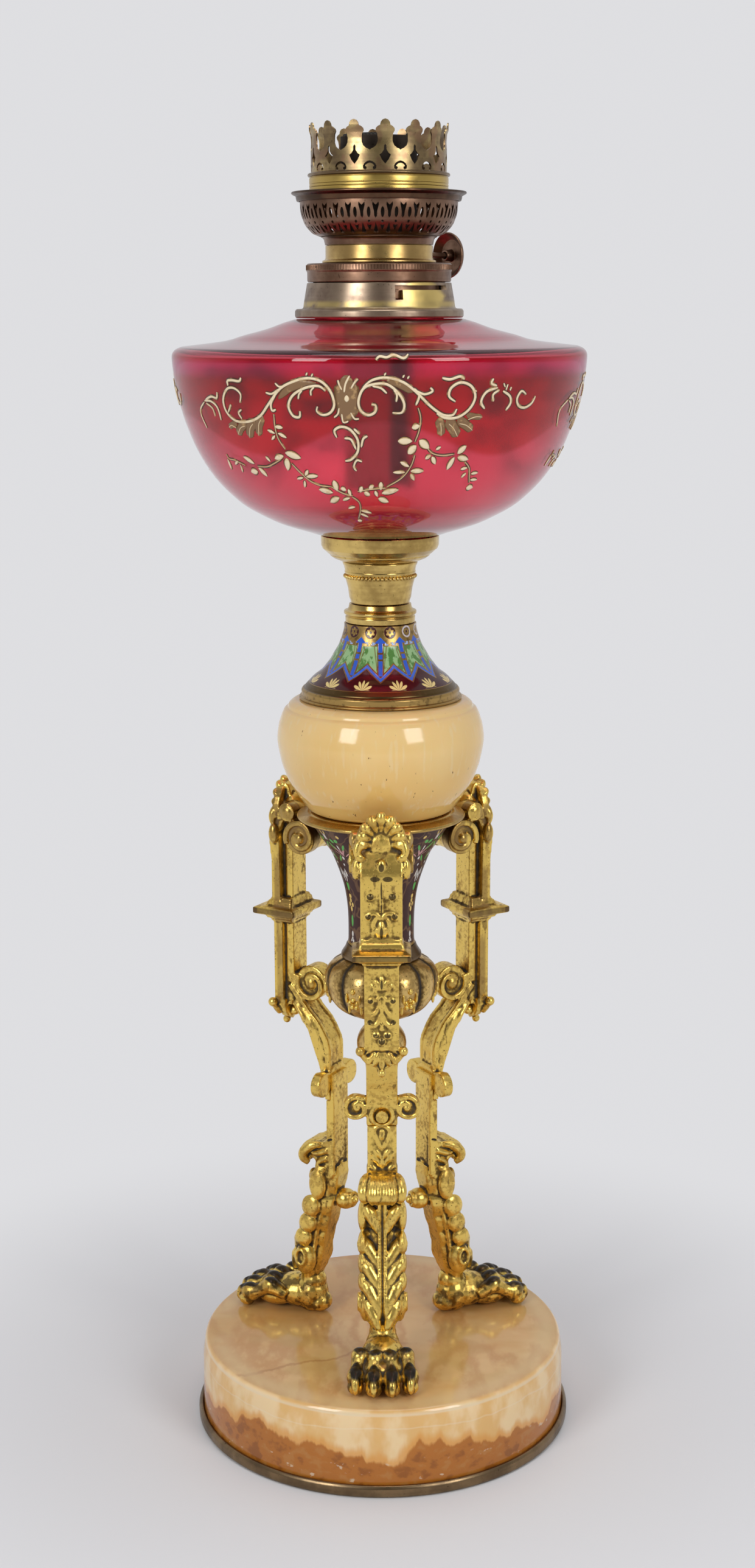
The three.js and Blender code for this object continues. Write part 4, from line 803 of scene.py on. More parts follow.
# %% Knop rosettes
rosette = bmesh.new()
ROSETTE_LEVEL = 217.6


def bulb_radius(level):
    below = max((p for p in bulb if p[1] <= level), key=lambda p: p[1])
    above = min((p for p in bulb if p[1] > level), key=lambda p: p[1])
    return below[0] + (above[0] - below[0]) * (level - below[1]) / (above[1] - below[1])


def add_ball(across, level, proud, half, tall):
    """A small ball on the front lobe of the knop, standing proud by a given amount."""
    place = (bulb_radius(level) - 0.3, across, level)
    small = mesh_of(ball_form(place, (proud + 0.3, half, tall), 10, 6), "ball")
    rosette.from_mesh(small)
    bpy.data.meshes.remove(small)


for petal in range(5):
    turn = math.radians(90 + 72 * petal)
    add_ball(2.0 * math.cos(turn), ROSETTE_LEVEL + 2.1 * math.sin(turn), 1.0, 1.4, 1.4)
add_ball(0, ROSETTE_LEVEL, 1.6, 0.9, 0.9)
add_ball(0, 224, 1.0, 1.6, 1.6)
for side in (-1, 1):
    add_ball(side * 3.5, 220.4, 0.6, 0.7, 2.6)
    add_ball(side * 3.3, 214.6, 0.6, 0.7, 2.6)
piece("knop_rosettes", ring_of("knop_rosettes", rosette, 6, gilt, -60), gilt)

# %% [markdown]
# The socket has a row of 54 fine beads. One bead is a small ball, and the ring tree repeats it.

# %% Beaded socket
BEADS = 54
socket = [
    (13.6, 406), (13.9, 407.2), (14.4, 408.6), (15, 413), (15.7, 415.7), (16.1, 417.2), (15.9, 418.5),
    (16.3, 419.8), (16.6, 420.4), (16.4, 421.4), (16.8, 423.2), (17.4, 424.4), (17.4, 425.3),
]
bead_ring = ring_of("beads", ball_form((16.15, 0, 418.5), (1.05, 0.86, 0.95)), BEADS, column_gilt)
socket_mesh = joined("socket", mesh_of(turned_form(stacked(socket)), "socket"), bead_ring)
even_shading(piece("beaded_socket", socket_mesh, column_gilt, stands_for=("beaded_socket",)))

# %% [markdown]
# ### Enamel of the cone
# The cone and the trumpet are champleve enamel: cells cut into gilt metal, filled with coloured glass and
# ground flush. The finish starts as gilt, and each cell is painted a little smaller than its share, so the
# gilt walls between the cells are what is left. The pattern repeats twelve times round the cone.

# %% Leaves, stems and zigzag
cone_enamel = Finish("cone_enamel", (0.42, 0.27, 0.09), Metallic=1.0, Roughness=0.3)
PITCH = math.radians(30)
BLUE, DEEP_BLUE, SKY = (0.035, 0.12, 0.62), (0.05, 0.15, 0.68), (0.36, 0.50, 0.80)
MAROON, CREAM, OLIVE = (0.055, 0.006, 0.008), (0.85, 0.68, 0.27), (0.20, 0.15, 0.05)
LEAF_GREEN, PALE_GREEN = (0.10, 0.25, 0.06), (0.33, 0.55, 0.26)
from_stem = cone_enamel.from_front(PITCH)
reach = from_stem * cone_enamel.radius
level = cone_enamel.z
zigzag = from_stem / (PITCH / 2) * 5.6 + 372.9
glazed = level * 0


def cell(colour, mask):
    """Fills one cell, and adds it to what is glazed."""
    cone_enamel.layer(colour, mask)
    return glazed.most(mask)


green = level.over(zigzag + 2.3, 0.15) * level.under(387.9, 0.15) * reach.over(1.5, 0.12)
glazed = cell(LEAF_GREEN, green)
glazed = cell(PALE_GREEN, green * cone_enamel.noise(2.6, 3, stretch=(1, 1, 0.45)).over(0.5, 0.04))
leaf_rib = (reach - (level - 378) * 0.12 - 1.6).size().under(0.22, 0.1) * green
cone_enamel.layer(OLIVE, leaf_rib * 0.9)
stem = reach.under(0.95, 0.12) * level.over(375.3, 0.1) * level.under(389.2, 0.1)
glazed = cell(BLUE, stem * (1 - level.near(384.8, 0.4) - level.near(382.0, 0.4)))
glazed = cell(BLUE, (reach + (level - 391.9) * 1.05).under(0, 0.12) * level.over(389.2, 0.1))
bits = level.near(389.0, 0.7, 0.12) * reach.over(2.2, 0.2) * cone_enamel.noise(1.6, 2).over(0.5, 0.05)
glazed = cell(SKY, bits)
glazed = cell(DEEP_BLUE, (level - zigzag).near(0.85, 0.72, 0.12))
arch = level.under(zigzag - 0.4, 0.12) * level.over(369.2, 0.1)
glazed = cell(MAROON, arch)
print(len(cone_enamel.tree.nodes), "nodes so far")

# %% Cream fans below and rosettes above
side_step = (PITCH / 2 - from_stem) * cone_enamel.radius
drop = level - 369.6
fan_angle = drop.sum("ARCTAN2", side_step, drop)
fan_size = drop.sum("SQRT", side_step * side_step + drop * drop * 1.4)
lobes = (fan_angle * 5.5).cosine().size()
fan = (fan_size - lobes * 2.6).under(2.1, 0.25) * drop.over(0.1, 0.1) * lobes.over(0.3, 0.1)
glazed = cell(CREAM, fan * arch)
rise = level - 394.0
disc_size = rise.sum("SQRT", side_step * side_step + rise * rise)
petal_turn = rise.sum("ARCTAN2", side_step, rise)
flower = (disc_size - (petal_turn * 6).cosine() * 0.35).under(1.75, 0.1)
glazed = cell((0.05, 0.008, 0.01), disc_size.under(2.75, 0.1) * (1 - flower * disc_size.over(0.55, 0.08)))
# A painted highlight: a pale rim round the rosettes, only towards the front right of the cone and opposite
# it.
pale = (cone_enamel.angle * 2 + 1.2).cosine().over(0.55, 0.1)
cone_enamel.layer((0.62, 0.56, 0.56), disc_size.near(2.3, 0.4, 0.1) * pale)
cone_enamel.layer((0.05, 0.03, 0.015), level.under(369.0, 0.1) * level.over(366.3, 0.2) * 0.8)
cone_enamel.layer((0.16, 0.10, 0.04), cone_enamel.noise(2.2, 4).over(0.6, 0.08) * (1 - glazed) * 0.7)
cone_enamel.drive("Metallic", 1 - glazed)
cone_enamel.drive("Roughness", 0.32 - glazed * 0.2)
cone_enamel.relief(glazed, -0.12, 0.6)
print(len(cone_enamel.tree.nodes), "nodes in the cone's enamel")

# %% Enamelled cone
cone = [
    (38, 361.3), (38.3, 361.9), (37.9, 362.5), (36.9, 362.8), (37, 363.4), (37.1, 365.3), (36.5, 366.2),
    (35.5, 366.5), (35.3, 367.2),
] + through([
    (34.3, 368.3), (31.4, 371.4), (27.6, 374.3), (25.2, 377.2), (23.1, 380), (21.5, 382.9), (19.8, 385.7),
    (18.6, 388.6), (17.6, 391.5), (16.9, 394.3), (16.8, 396.7),
], 3)
turned("enamel_cone", stacked(cone), cone_enamel, reach=0.25)

# %% [markdown]
# ### Enamel of the trumpet
# The trumpet is dark, with a thread of fine gilt scrollwork. Each third of it has the same chain of small
# ovals, mirrored: a stem of leaves and beads below, and a spray of pink and white petals above. An oval is
# written as its distance from the middle, its height, its two half sizes and its lean.

# %% Enamelled trumpet
trumpet_enamel = Finish("trumpet_enamel", (0.05, 0.015, 0.012), Roughness=0.38, Specular_IOR_Level=0.28)
mid_side = ((THIRD / 2 - trumpet_enamel.from_front(THIRD)) * trumpet_enamel.radius).size()
up = trumpet_enamel.z
scrollwork = trumpet_enamel.noise(5.5, 1, stretch=(1, 1, 0.7)).near(0.5, 0.03, 0.015)
trumpet_enamel.layer((0.15, 0.075, 0.035), scrollwork * 0.9)
GREEN, WHITE, YELLOW, PINK = (0.12, 0.46, 0.10), (0.80, 0.77, 0.72), (0.82, 0.58, 0.17), (0.66, 0.36, 0.36)
for side, height, half, tall, lean, colour in (
    (0.8, 244.8, 0.55, 0.7, 0, WHITE), (0.2, 246.0, 0.45, 0.6, 0, WHITE), (0, 248.1, 0.75, 1.4, 0, WHITE),
    (0, 254.6, 0.85, 2.8, 0, GREEN), (0, 260.5, 0.8, 1.3, 0, YELLOW), (1.2, 262.7, 0.75, 1.1, 0, YELLOW),
    (0, 264.8, 0.8, 1.1, 0, YELLOW), (0.4, 266.9, 0.6, 1.0, 0, YELLOW), (0.3, 271.8, 0.7, 2.0, 0.1, GREEN),
    (1.2, 276.6, 0.35, 2.4, 0.2, WHITE), (0.2, 277.4, 0.35, 2.8, 0.35, WHITE),
    (2.2, 279.2, 0.4, 2.0, -0.2, WHITE), (3.2, 283.5, 0.5, 0.6, 0, WHITE), (4.8, 287.2, 0.7, 0.8, 0, WHITE),
    (2.6, 286.8, 0.6, 1.8, 0.6, GREEN), (6.3, 290.2, 0.55, 1.9, 0, PINK), (4.7, 291.0, 0.5, 2.0, -0.7, PINK),
    (8.0, 291.0, 0.5, 2.0, 0.8, PINK), (3.6, 289.4, 0.4, 1.1, -1.6, PINK), (9.2, 289.4, 0.4, 1.1, 1.6, PINK),
    (6.3, 293.0, 0.45, 1.2, 0, WHITE), (2.2, 293.2, 0.7, 1.8, -0.8, GREEN),
    (4.2, 296.0, 1.1, 1.0, -0.4, GREEN),
    (7.4, 296.4, 1.2, 0.9, 0.4, GREEN), (9.8, 293.4, 0.7, 1.6, 0.8, GREEN), (0.6, 297.6, 0.5, 1.6, 0, WHITE),
    (1.5, 299.9, 0.5, 1.1, 0.3, YELLOW), (10.5, 299.0, 0.9, 0.8, 0, YELLOW),
):
    across = (mid_side - side - (up - height) * lean) / half
    along = (up - height) / tall
    trumpet_enamel.layer(colour, (across * across + along * along).under(1, 0.2))
lips = up.under(243.2, 0.1) + up.over(302.2, 0.1)
trumpet_enamel.layer((0.45, 0.30, 0.10), lips)
trumpet_enamel.drive("Metallic", lips)
trumpet = through([
    (16.2, 242), (15.75, 245), (15.9, 257), (17, 267), (19.2, 275.6), (23.4, 286.6), (26.3, 291),
    (29.5, 296), (33, 301.5), (34, 303.2),
])
turned("enamel_trumpet", stacked(trumpet), trumpet_enamel)

# %% [markdown]
# ## Castings
# The legs and brackets were modelled in wax and cast, so their forms flow into each other. Here the wax is
# a pile of simple closed forms: straps, plates, scrolls, leaves and balls. A voxel remesh melts them into
# one skin, and a little smoothing rounds it as the wax and the gilder's burnisher did.
#
# A leg is modelled once, in its own frame: out from the axis, across to the side, and up. Then three copies
# are turned to their places. A plate or ribbon is drawn in the side view or in the front view.


# %% Wax
def laid(u, v, depth, facing):
    """A point drawn in the side view (out, up) or the front view (across, up), at a depth."""
    return (u, depth, v) if facing == "side" else (depth, u, v)


def heading(path, i):
    """The direction of a path at its point i."""
    return (Vector(path[min(i + 1, len(path) - 1)]) - Vector(path[max(i - 1, 0)])).normalized()


def for_each(value, count):
    return value if isinstance(value, (list, tuple)) else [value] * count


class Wax:
    def __init__(self):
        self.form = bmesh.new()

    def add(self, form):
        bmesh.ops.recalc_face_normals(form, faces=form.faces)
        mesh = bpy.data.meshes.new("wax")
        form.to_mesh(mesh)
        form.free()
        self.form.from_mesh(mesh)
        bpy.data.meshes.remove(mesh)

    def ball(self, place, radii, lean=0, axis="X"):
        form = ball_form(place, radii, 16, 10)
        if lean:
            turn = Matrix.Rotation(math.radians(lean), 3, axis)
            bmesh.ops.rotate(form, verts=form.verts, cent=Vector(place) * MM, matrix=turn)
        self.add(form)

    def loft(self, rings):
        """A closed skin through rings of points."""
        form = bmesh.new()
        rows = [[form.verts.new(Vector(p) * MM) for p in ring] for ring in rings]
        for low, high in zip(rows, rows[1:]):
            for i in range(len(low)):
                k = (i + 1) % len(low)
                form.faces.new((low[i], low[k], high[k], high[i]))
        form.faces.new(rows[0][::-1])
        form.faces.new(rows[-1])
        self.add(form)

    def plate(self, outline, near, far, facing="side"):
        self.loft([[laid(u, v, depth, facing) for u, v in outline] for depth in (near, far)])

    def rod(self, points, radii, sides=10, steps=4):
        """A round rod along a smooth path, with a radius for each point or one for all."""
        path = [Vector(p) for p in through(points, steps)]
        radii = for_each(radii, len(points))
        rings = []
        across = heading(path, 0).orthogonal()
        for i, point in enumerate(path):
            ahead = heading(path, i)
            across = (across - ahead * across.dot(ahead)).normalized()
            other = ahead.cross(across)
            share = i / steps
            low = min(int(share), len(radii) - 2)
            radius = radii[low] + (radii[low + 1] - radii[low]) * (share - low)
            rings.append([point + across * u + other * v for u, v in circle(0, 0, radius, sides)])
        self.loft(rings)

    def ribbon(self, path, half, near, far, facing="side"):
        """A strip along a path: half its thickness, and the depths of its two faces."""
        half = for_each(half, len(path))
        rings = []
        for i, (u, v) in enumerate(path):
            normal = heading(path, i).orthogonal() * half[i]
            rings.append([
                laid(u + normal.x * side, v + normal.y * side, depth, facing)
                for side, depth in ((1, near), (1, far), (-1, far), (-1, near))
            ])
        self.loft(rings)


# %% Scrolls and relief in wax
class Casting(Wax):
    def scroll(self, centre, radius, near, far, start=90, turns=1.3, way=1, facing="side", eye=0.27):
        """A volute: a sunk disc, with a band that winds in on it to a round eye."""
        u, v = centre
        sunk = min(1.4, abs(far - near) * 0.22)
        back = near + sunk if facing == "side" else near
        self.plate(circle(u, v, radius * 0.92, 28), back, far - sunk, facing)
        path = []
        halves = []
        steps = int(turns * 26)
        for i in range(steps + 1):
            share = i / steps
            reach = radius * (1 - 0.62 * max(0.0, share - 0.3) / 0.7)
            band = radius * (0.15 - 0.03 * share)
            a = math.radians(start) + way * 2 * math.pi * turns * share
            path.append((u + (reach - band) * math.cos(a), v + (reach - band) * math.sin(a)))
            halves.append(band)
        self.ribbon(path, halves, near, far, facing)
        eye *= radius
        for face, sign in ((far, 1), (near, -1))[: 2 if facing == "side" else 1]:
            self.ball(laid(u, v, face - sign * eye * 0.5, facing), laid(eye, eye, eye * 0.8, facing))

    def leaf(self, face, across, up, length, width, lean, rise=1.2):
        """A small raised leaf on the front; lean turns it from upright towards the side."""
        for side in ((1, -1) if across else (1,)):
            self.ball((face, across * side, up), (rise, width / 2, length / 2), -lean * side, "X")

    def bead(self, face, across, up, radius, rise):
        """A small dome on the front."""
        for side in ((1, -1) if across else (1,)):
            self.ball((face, across * side, up), (rise, radius, radius))

    def curl(self, face, points, radius):
        """A raised vine drawn on the front through (across, up) points, on both sides."""
        for side in (1, -1):
            path = [(face, across * side, up) for across, up in points]
            self.rod(path, [radius] * (len(path) - 1) + [radius * 0.45], sides=8, steps=3)

    def tell(self, what):
        print("wax, with the", what + ":", len(self.form.faces), "faces")


# %% Melting the wax
VOXEL = 0.5 * 1
MOST_TRIANGLES = 105000


def cast(name, wax):
    """The melted skin, as one mesh."""
    mesh = bpy.data.meshes.new(name)
    wax.form.to_mesh(mesh)
    wax.form.free()
    thing = placed(name, mesh)
    melt = thing.modifiers.new("melt", "REMESH")
    melt.mode = "VOXEL"
    melt.voxel_size = VOXEL * MM
    soften = thing.modifiers.new("soften", "SMOOTH")
    soften.factor = 0.5
    soften.iterations = 3
    settled(thing)
    triangles = 2 * len(thing.data.polygons)
    if triangles > MOST_TRIANGLES:
        thing.modifiers.new("fewer", "DECIMATE").ratio = MOST_TRIANGLES / triangles
        settled(thing)
    result = thing.data
    bpy.data.objects.remove(thing)
    print(name, "melted to", sum(len(p.vertices) - 2 for p in result.polygons), "triangles")
    return result


# %% [markdown]
# Dirt and patina need to know where the hollows are. Geometry Nodes can tell: blur the positions along the
# surface, and where the blurred point lies outside the skin, the skin is hollow there.

# %% Hollows
hollow_tree, given, result = new_tree("find_hollows", ("Reach", "Int"), ("Full", "Float"))
spot = node(hollow_tree, "GeometryNodeInputPosition").outputs[0]
blurred = node(
    hollow_tree, "GeometryNodeBlurAttribute", {"Iterations": given["Reach"]}, data_type="FLOAT_VECTOR"
)
hollow_tree.links.new(spot, next(s for s in blurred.inputs if s.type == "VECTOR" and s.enabled))
smooth_spot = next(s for s in blurred.outputs if s.type == "VECTOR" and s.enabled)
lift = node(hollow_tree, "ShaderNodeVectorMath", {0: smooth_spot, 1: spot}, operation="SUBTRACT").outputs[0]
outward = node(hollow_tree, "GeometryNodeInputNormal").outputs[0]
depth = node(hollow_tree, "ShaderNodeVectorMath", {0: lift, 1: outward}, operation="DOT_PRODUCT")
hollow = rule(hollow_tree, "DIVIDE", depth.outputs["Value"], given["Full"])
wires = {"Geometry": given["Geometry"], "Name": "hollow", "Value": hollow}
hollow_tree.links.new(node(hollow_tree, "GeometryNodeStoreNamedAttribute", wires).outputs[0], result)


def set_of_castings(label, mesh, finish):
    """The casting at its three places, each riding on the lamp instead of its solid."""
    skin = shaped(label, mesh, hollow_tree, Reach=14, Full=0.55 * MM)
    for face in skin.polygons:
        face.use_smooth = True
    for where, angle in LEGS.items():
        name = label + "_" + where
        copy = skin.copy()
        copy.name = name
        copy.transform(Matrix.Rotation(math.radians(angle), 4, "Z"))
        piece(name, copy, finish, stands_for=(name,))


# %% [markdown]
# ### Bracket
# From the side a bracket reads as one strap bent into a long C: scroll, pilaster, scroll. The pilaster has
# two strips with a groove between them, so each strip is a ribbon of its own on a narrower web.

# %% Bracket: pilaster and moulding
bracket = Casting()
bend = through([(56, 277.2), (57.1, 286.2), (56.3, 292.2), (53.5, 298.2), (48.5, 303.2)], 3)
bracket.plate(
    [(51.2, 255), (56, 255), *bend, (44.8, 301.8), (49.4, 297.4), (51.6, 292), (51.6, 284)], -9.6, 9.6
)
bracket.plate([(51.2, 206), (56, 206), (56, 253), (51.2, 253)], -8, 8)
bracket.plate([(48, 204), (53, 204), (53, 296), (48, 296)], -5.4, 5.4)
bracket.plate([(46, 216), (50, 216), (50, 288), (46, 292)], -6.35, 6.35)
MOULD_LEVEL = 251.8
bracket.loft([
    [(x, sign * (8 + side), MOULD_LEVEL + rise)
     for x, sign in ((46 - out / 2, -1), (46 - out / 2, 1), (56 + out, 1), (56 + out, -1))]
    for rise, out, side in (
        (-5.2, 0.2, 0.2), (-4.9, 1.0, 0.9), (-3.6, 1.2, 1.0), (-3.3, 2.8, 2.3), (-1.7, 3.4, 2.8),
        (-1.4, 7.8, 4.9), (-0.9, 8.9, 5.6), (1.7, 8.9, 5.6), (2.1, 8.2, 5.3), (2.7, 3.9, 3.2),
        (3.1, 2.9, 2.4),
        (5.4, 2.2, 1.9), (5.8, 1.2, 1.0), (6.9, 1.0, 0.8), (7.2, 0.2, 0.2),
    )
])
bracket.tell("pilaster")

# %% Bracket: volutes, roll and shelf
bracket.scroll((36.9, 216.8), 9.2, -6.35, 6.35, start=25, turns=1.0, way=-1, eye=0.34)
for near, far in ((-14.8, -5.2), (5.2, 14.8)):
    bracket.scroll((37.5, 291.2), 8.8, near, far, start=-25, turns=1.2, way=1, eye=0.3)
bracket.plate(circle(37.5, 291.2, 7.4, 20), -7, 7)
bracket.plate([(34.3, 298.3), (49, 298.3), (49, 303.2), (34.3, 303.2)], -7, 7)
bracket.plate(circle(44.8, 303.2, 4.5, 18), -13.5, 13.5)
for side in (-1, 1):
    bracket.ball((44.8, side * 13.2, 303.2), (3.2, 1.6, 3.2))
bracket.plate([(41.2, 299), (50.6, 299), (50.6, 302.4), (41.2, 302.4)], -12.5, 12.5)
bracket.ribbon(through([(48, 283), (46.2, 293), (42, 299.5), (37, 300.4)], 4), 1.4, -6.35, 6.35)
bracket.tell("shelf")


# %% [markdown]
# The shell at the top has nine ribs that fan out from its root. A rule gives each point of it, from how far
# it is from the root and how much it leans, so the ribs and the thin web behind them bend outwards together.

# %% Bracket: the shell at its top
def on_fan(reach, lean, out):
    """A point of the shell: how far from its root, at which lean, and how far out at the rim."""
    turn = math.radians(lean)
    return (50.4 + out * (reach / 14) ** 1.5, reach * math.sin(turn) * 0.88, 302.8 + reach * math.cos(turn))


bracket.loft([
    [on_fan(reach, lean, out) for lean in range(-105, 106, 15)] + [(root, 4, 299), (root, -4, 299)]
    for reach, out, root in ((13.2, -0.4, 46), (13.6, 3.4, 50.5))
])
for k in range(-4, 5):
    size = 1 - 0.05 * abs(k)
    rib = (4.5, 2), (8 * size, 4.2), (12.4 * size, 4.4), (14.8 * size, 2.8)
    bracket.rod([on_fan(reach, k * 23, out) for reach, out in rib], [0.8, 1.5, 2.35, 1.9], sides=12)
behind = through([
    (45.8, 303.2), (47.0, 308.5), (48.0, 313.2), (49.6, 315.4), (52.6, 315), (51.6, 309), (51, 303.2),
], 3)
bracket.plate(behind, -5.5, 5.5)
bracket.ball((47.0, 0, 302), (6.7, 9.4, 9.2))
hook = (51.6, 7.0, 304.4), (53.4, 9.8, 303.4), (54.2, 11.0, 300), (54.6, 9.6, 296.6), (55.0, 7.8, 297.6)
for side in (-1, 1):
    bracket.rod([(x, side * y, z) for x, y, z in hook], [1.5, 1.9, 1.9, 1.6, 1.1])
    bracket.ball((53.4, side * 11.4, 291.4), (2.6, 2.2, 5.0))
bracket.tell("shell")

# %% Bracket: sweep
under = through([
    (51.5, 206), (47.5, 206.2), (42.6, 201), (39.3, 196.8), (36.5, 189.5), (33.8, 182.1), (31.8, 176.8),
    (29.6, 168), (27.9, 158.8),
])
back = through([
    (25.7, 158.8), (25.7, 174.8), (25.9, 185.6), (28.2, 191.5), (31.7, 197.2), (37.3, 203), (47, 214.8),
])
bracket.plate([*back, (52, 214.8), *under], -5.6, 5.6)
for side in (-1, 1):
    bracket.ribbon([(x - 1.5, z + 0.2) for x, z in under[4:]], 1.45, side * 7.4, side * 4.6)
    bracket.ribbon([(x + 1.2, z) for x, z in back], 1.35, side * 7.0, side * 4.6)
rods = (
    ((54.6, 5.6, 199.4), (55.2, 7.8, 202), (55.8, 9.6, 204.4)),
    ((46, 5.0, 208.6), (40.4, 5.4, 202.6), (35.8, 5.6, 196.6), (32.4, 5.4, 190), (29.8, 5.2, 183),
     (28.6, 5.0, 175)),
    ((44.4, 7.0, 204.6), (40.2, 7.6, 200.4), (37.4, 6.8, 194)),
)
for side in (-1, 1):
    for points, radii in zip(rods, ([1.5, 1.5, 1.2], [0.9, 2.3, 2.7, 2.2, 2.2, 1.0], [0.9, 1.5, 0.8])):
        bracket.rod([(x, side * y, z) for x, y, z in points], radii)
    bracket.ball((56, side * 10.0, 205.6), (2.4, 2.2, 2.4))
bracket.ball((49.4, 0, 199.8), (2.8, 2.8, 2.6))
bracket.ball((42.4, 0, 199), (3.6, 3.4, 6.0))
bracket.tell("sweep")

# %% Bracket: side scrolls and pendant
for side in (-1, 1):
    bracket.scroll((side * 12.0, 168.0), 6.4, 24.9, 29.8, start=90, turns=1.15, way=-side, facing="front")
saddle = [
    (-11.6, 174.3), (-7, 173.2), (-4, 175.4), (4, 175.4), (7, 173.2), (11.6, 174.3), (11.6, 171),
    (-11.6, 171),
]
bracket.plate(saddle, 25, 29.2, "front")
bracket.plate([(-9, 165.2), (9, 165.2), (9, 171.7), (-9, 171.7)], 25, 28.2, "front")
ring = [(29.0, *spot) for spot in circle(0, 164.3, 4.9, 16)]
bracket.rod([*ring, ring[0]], 1.15, sides=8, steps=2)
bracket.plate([(-4.6, 159.6), (4.6, 159.6), (4.6, 168), (-4.6, 168)], 25.8, 28.4, "front")
bracket.curl(29.2, [(0, 172.4), (2.6, 172.6), (3.0, 175.4), (0, 177.4)], 0.7)
lotus = [(-8, 204), (-6.6, 200.5), (-4.4, 197.6), (0, 195.4), (4.4, 197.6), (6.6, 200.5), (8, 204)]
bracket.plate([(-7.6, 207), *lotus, (7.6, 207)], 50.2, 54.2, "front")
bracket.tell("pendant")

# %% [markdown]
# The relief is drawn on the pilaster's face as a mould-maker presses it: leaves and beads by their middle and
# size, and vines through a few points. Whatever stands off the middle line is made on both sides.

# %% Bracket: relief above the moulding
FACE = 55.8
bracket.rod([(FACE + 0.2, 0, 290), (FACE + 0.2, 0, 272)], [0.75, 0.6])
for leaf in (
    (0, 293.2, 6.4, 4.0, 0, 1.25), (3.0, 287.6, 5.2, 2.8, 62, 1.15), (5.4, 289.4, 3.0, 1.3, 30, 0.8),
    (0, 263.4, 8.6, 3.6, 0, 1.5), (1.8, 262.2, 6.0, 1.6, 14, 1.1), (4.2, 256.9, 4.6, 3.6, 74, 1.3),
):
    bracket.leaf(FACE, *leaf)
for bead in ((5.0, 279.1, 1.6, 1.3), (6.0, 269.6, 1.35, 1.2)):
    bracket.bead(FACE, *bead)
for vine, radius in (
    ([(4.2, 280.4), (2.4, 280.9), (0.6, 278.6)], 0.55),
    ([(0.4, 268.6), (2.0, 270.8), (5.2, 271.0), (6.6, 269.9)], 0.85),
    ([(1.9, 269.6), (3.6, 266.4), (3.6, 262.2), (4.8, 259.2)], 0.75),
    ([(0, 258.8), (3.0, 259.6), (6.6, 258.4), (7.6, 256.0)], 0.65),
):
    bracket.curl(FACE, vine, radius)
bracket.tell("upper relief")

# %% Bracket: relief below the moulding
bracket.rod([(FACE + 0.1, 0, 224.5), (FACE + 0.1, 0, 216)], 0.7)
for k, length in ((0, 6.6), (1, 5.6), (2, 4.4)):
    bracket.leaf(FACE, k * 1.7, 238.4 - k * 1.0, length, 2.0, k * 24, 1.25)
bracket.leaf(FACE, 0, 226.8, 8.0, 1.8, 0, 1.4)
for bead in ((5.0, 229.6, 1.2, 1.1), (0, 210.4, 1.7, 1.3), (2.6, 213.2, 1.6, 1.2)):
    bracket.bead(FACE, *bead)
for vine, radius in (
    ([(3.4, 239.4), (3.8, 236), (2.2, 233.2), (0.2, 231.4)], 0.55),
    ([(0.4, 232.6), (2.4, 230.2), (4.6, 230.8), (5.8, 229.8)], 0.8),
    ([(0.6, 230), (1.6, 226.2), (3.4, 223.8), (4.6, 224.4)], 0.85),
    ([(0.4, 223.2), (1.6, 219.6), (3.8, 217.8), (5.6, 218.6), (5.4, 220.2)], 0.9),
):
    bracket.curl(FACE, vine, radius)
for k in (-2, -1, 0, 1, 2):
    bracket.ball((54.4, k * 2.3, 200.9 + abs(k) * 0.8), (2.0, 1.5, 4.6 - abs(k) * 0.7), k * 18)
bracket.curl(55.0, [(0, 206.2), (3.0, 206.6), (5.6, 205.6), (7.8, 203.6)], 0.9)
bracket.ball((54.2, 0, 194.4), (2.0, 2.0, 2.0))
set_of_castings("bracket", cast("bracket", bracket), bracket_gilt)

# %% [markdown]
# ### Lower leg
# A flat strap, an acanthus hook at the knee, a shaft wrapped in leaves, and a lion's paw with four toes.
# The paw is the part that everyone looks at: each toe has a knuckle, a pad and a dark nail.

# %% Lower leg: strap and its relief
leg = Casting()
leg.plate([(23.4, 120), (27.7, 120), (27.7, 158.5), (23.4, 158.5)], -7, 7)
leg.plate([(23.4, 157), (25.4, 157), (25.4, 172), (23.4, 172)], -7, 7)
FRONT = 27.5
leg.curl(FRONT, [(0, 158.6), (2.4, 157.9), (3.6, 155.6), (2.6, 152), (1.1, 148.6), (0, 146.6)], 0.75)
leg.curl(FRONT, [(5.2, 144.6), (3.2, 143.0), (1.6, 138.8), (0.2, 136.4)], 0.7)
for leaf in (
    (0, 154.2, 5.4, 2.6, 0, 1.1), (2.0, 144.4, 6.0, 2.0, 32, 1.0), (3.0, 141.4, 5.4, 2.0, 44, 1.0),
    (4.0, 137.4, 4.8, 2.0, 56, 1.0), (0, 139.4, 8.0, 1.8, 0, 1.2),
):
    leg.leaf(FRONT, *leaf)
leg.bead(FRONT, 4.8, 134.8, 1.0, 0.9)
leg.tell("strap")

# %% Lower leg: shaft and inner ball
stations = [
    (22.5, 33.0, 125.7, 6.6), (22, 33.6, 119.2, 7.6), (24, 34.2, 109.7, 7.2), (25.6, 37.4, 101.7, 7.6),
    (27.8, 40.2, 92.7, 8.0), (30.5, 43.8, 83.7, 7.6), (31.8, 46.0, 74.7, 7.6), (33.5, 46.6, 67.7, 7.4),
    (36, 45.2, 61.7, 6.2), (35, 46.6, 52, 6.4),
]
leg.loft([
    [((inner + outer) / 2 + (outer - inner) / 2 * u * (0.94 if u > 0 else 0.9), half * v, z)
     for u, v in circle(0, 0, 1, 20)]
    for inner, outer, z, half in stations
])
leg.ball((20.9, 0, 106), (5.6, 5.6, 5.2))
ring = [(16.8 + 0.6 * u / 3.4, u, 106.4 + v) for u, v in circle(0, 0, 3.4, 12)]
leg.rod([*ring, ring[0]], 0.9, sides=8, steps=2)
leg.ball((15.6, 0, 106.4), (2.0, 2.0, 2.0))
leg.tell("shaft")

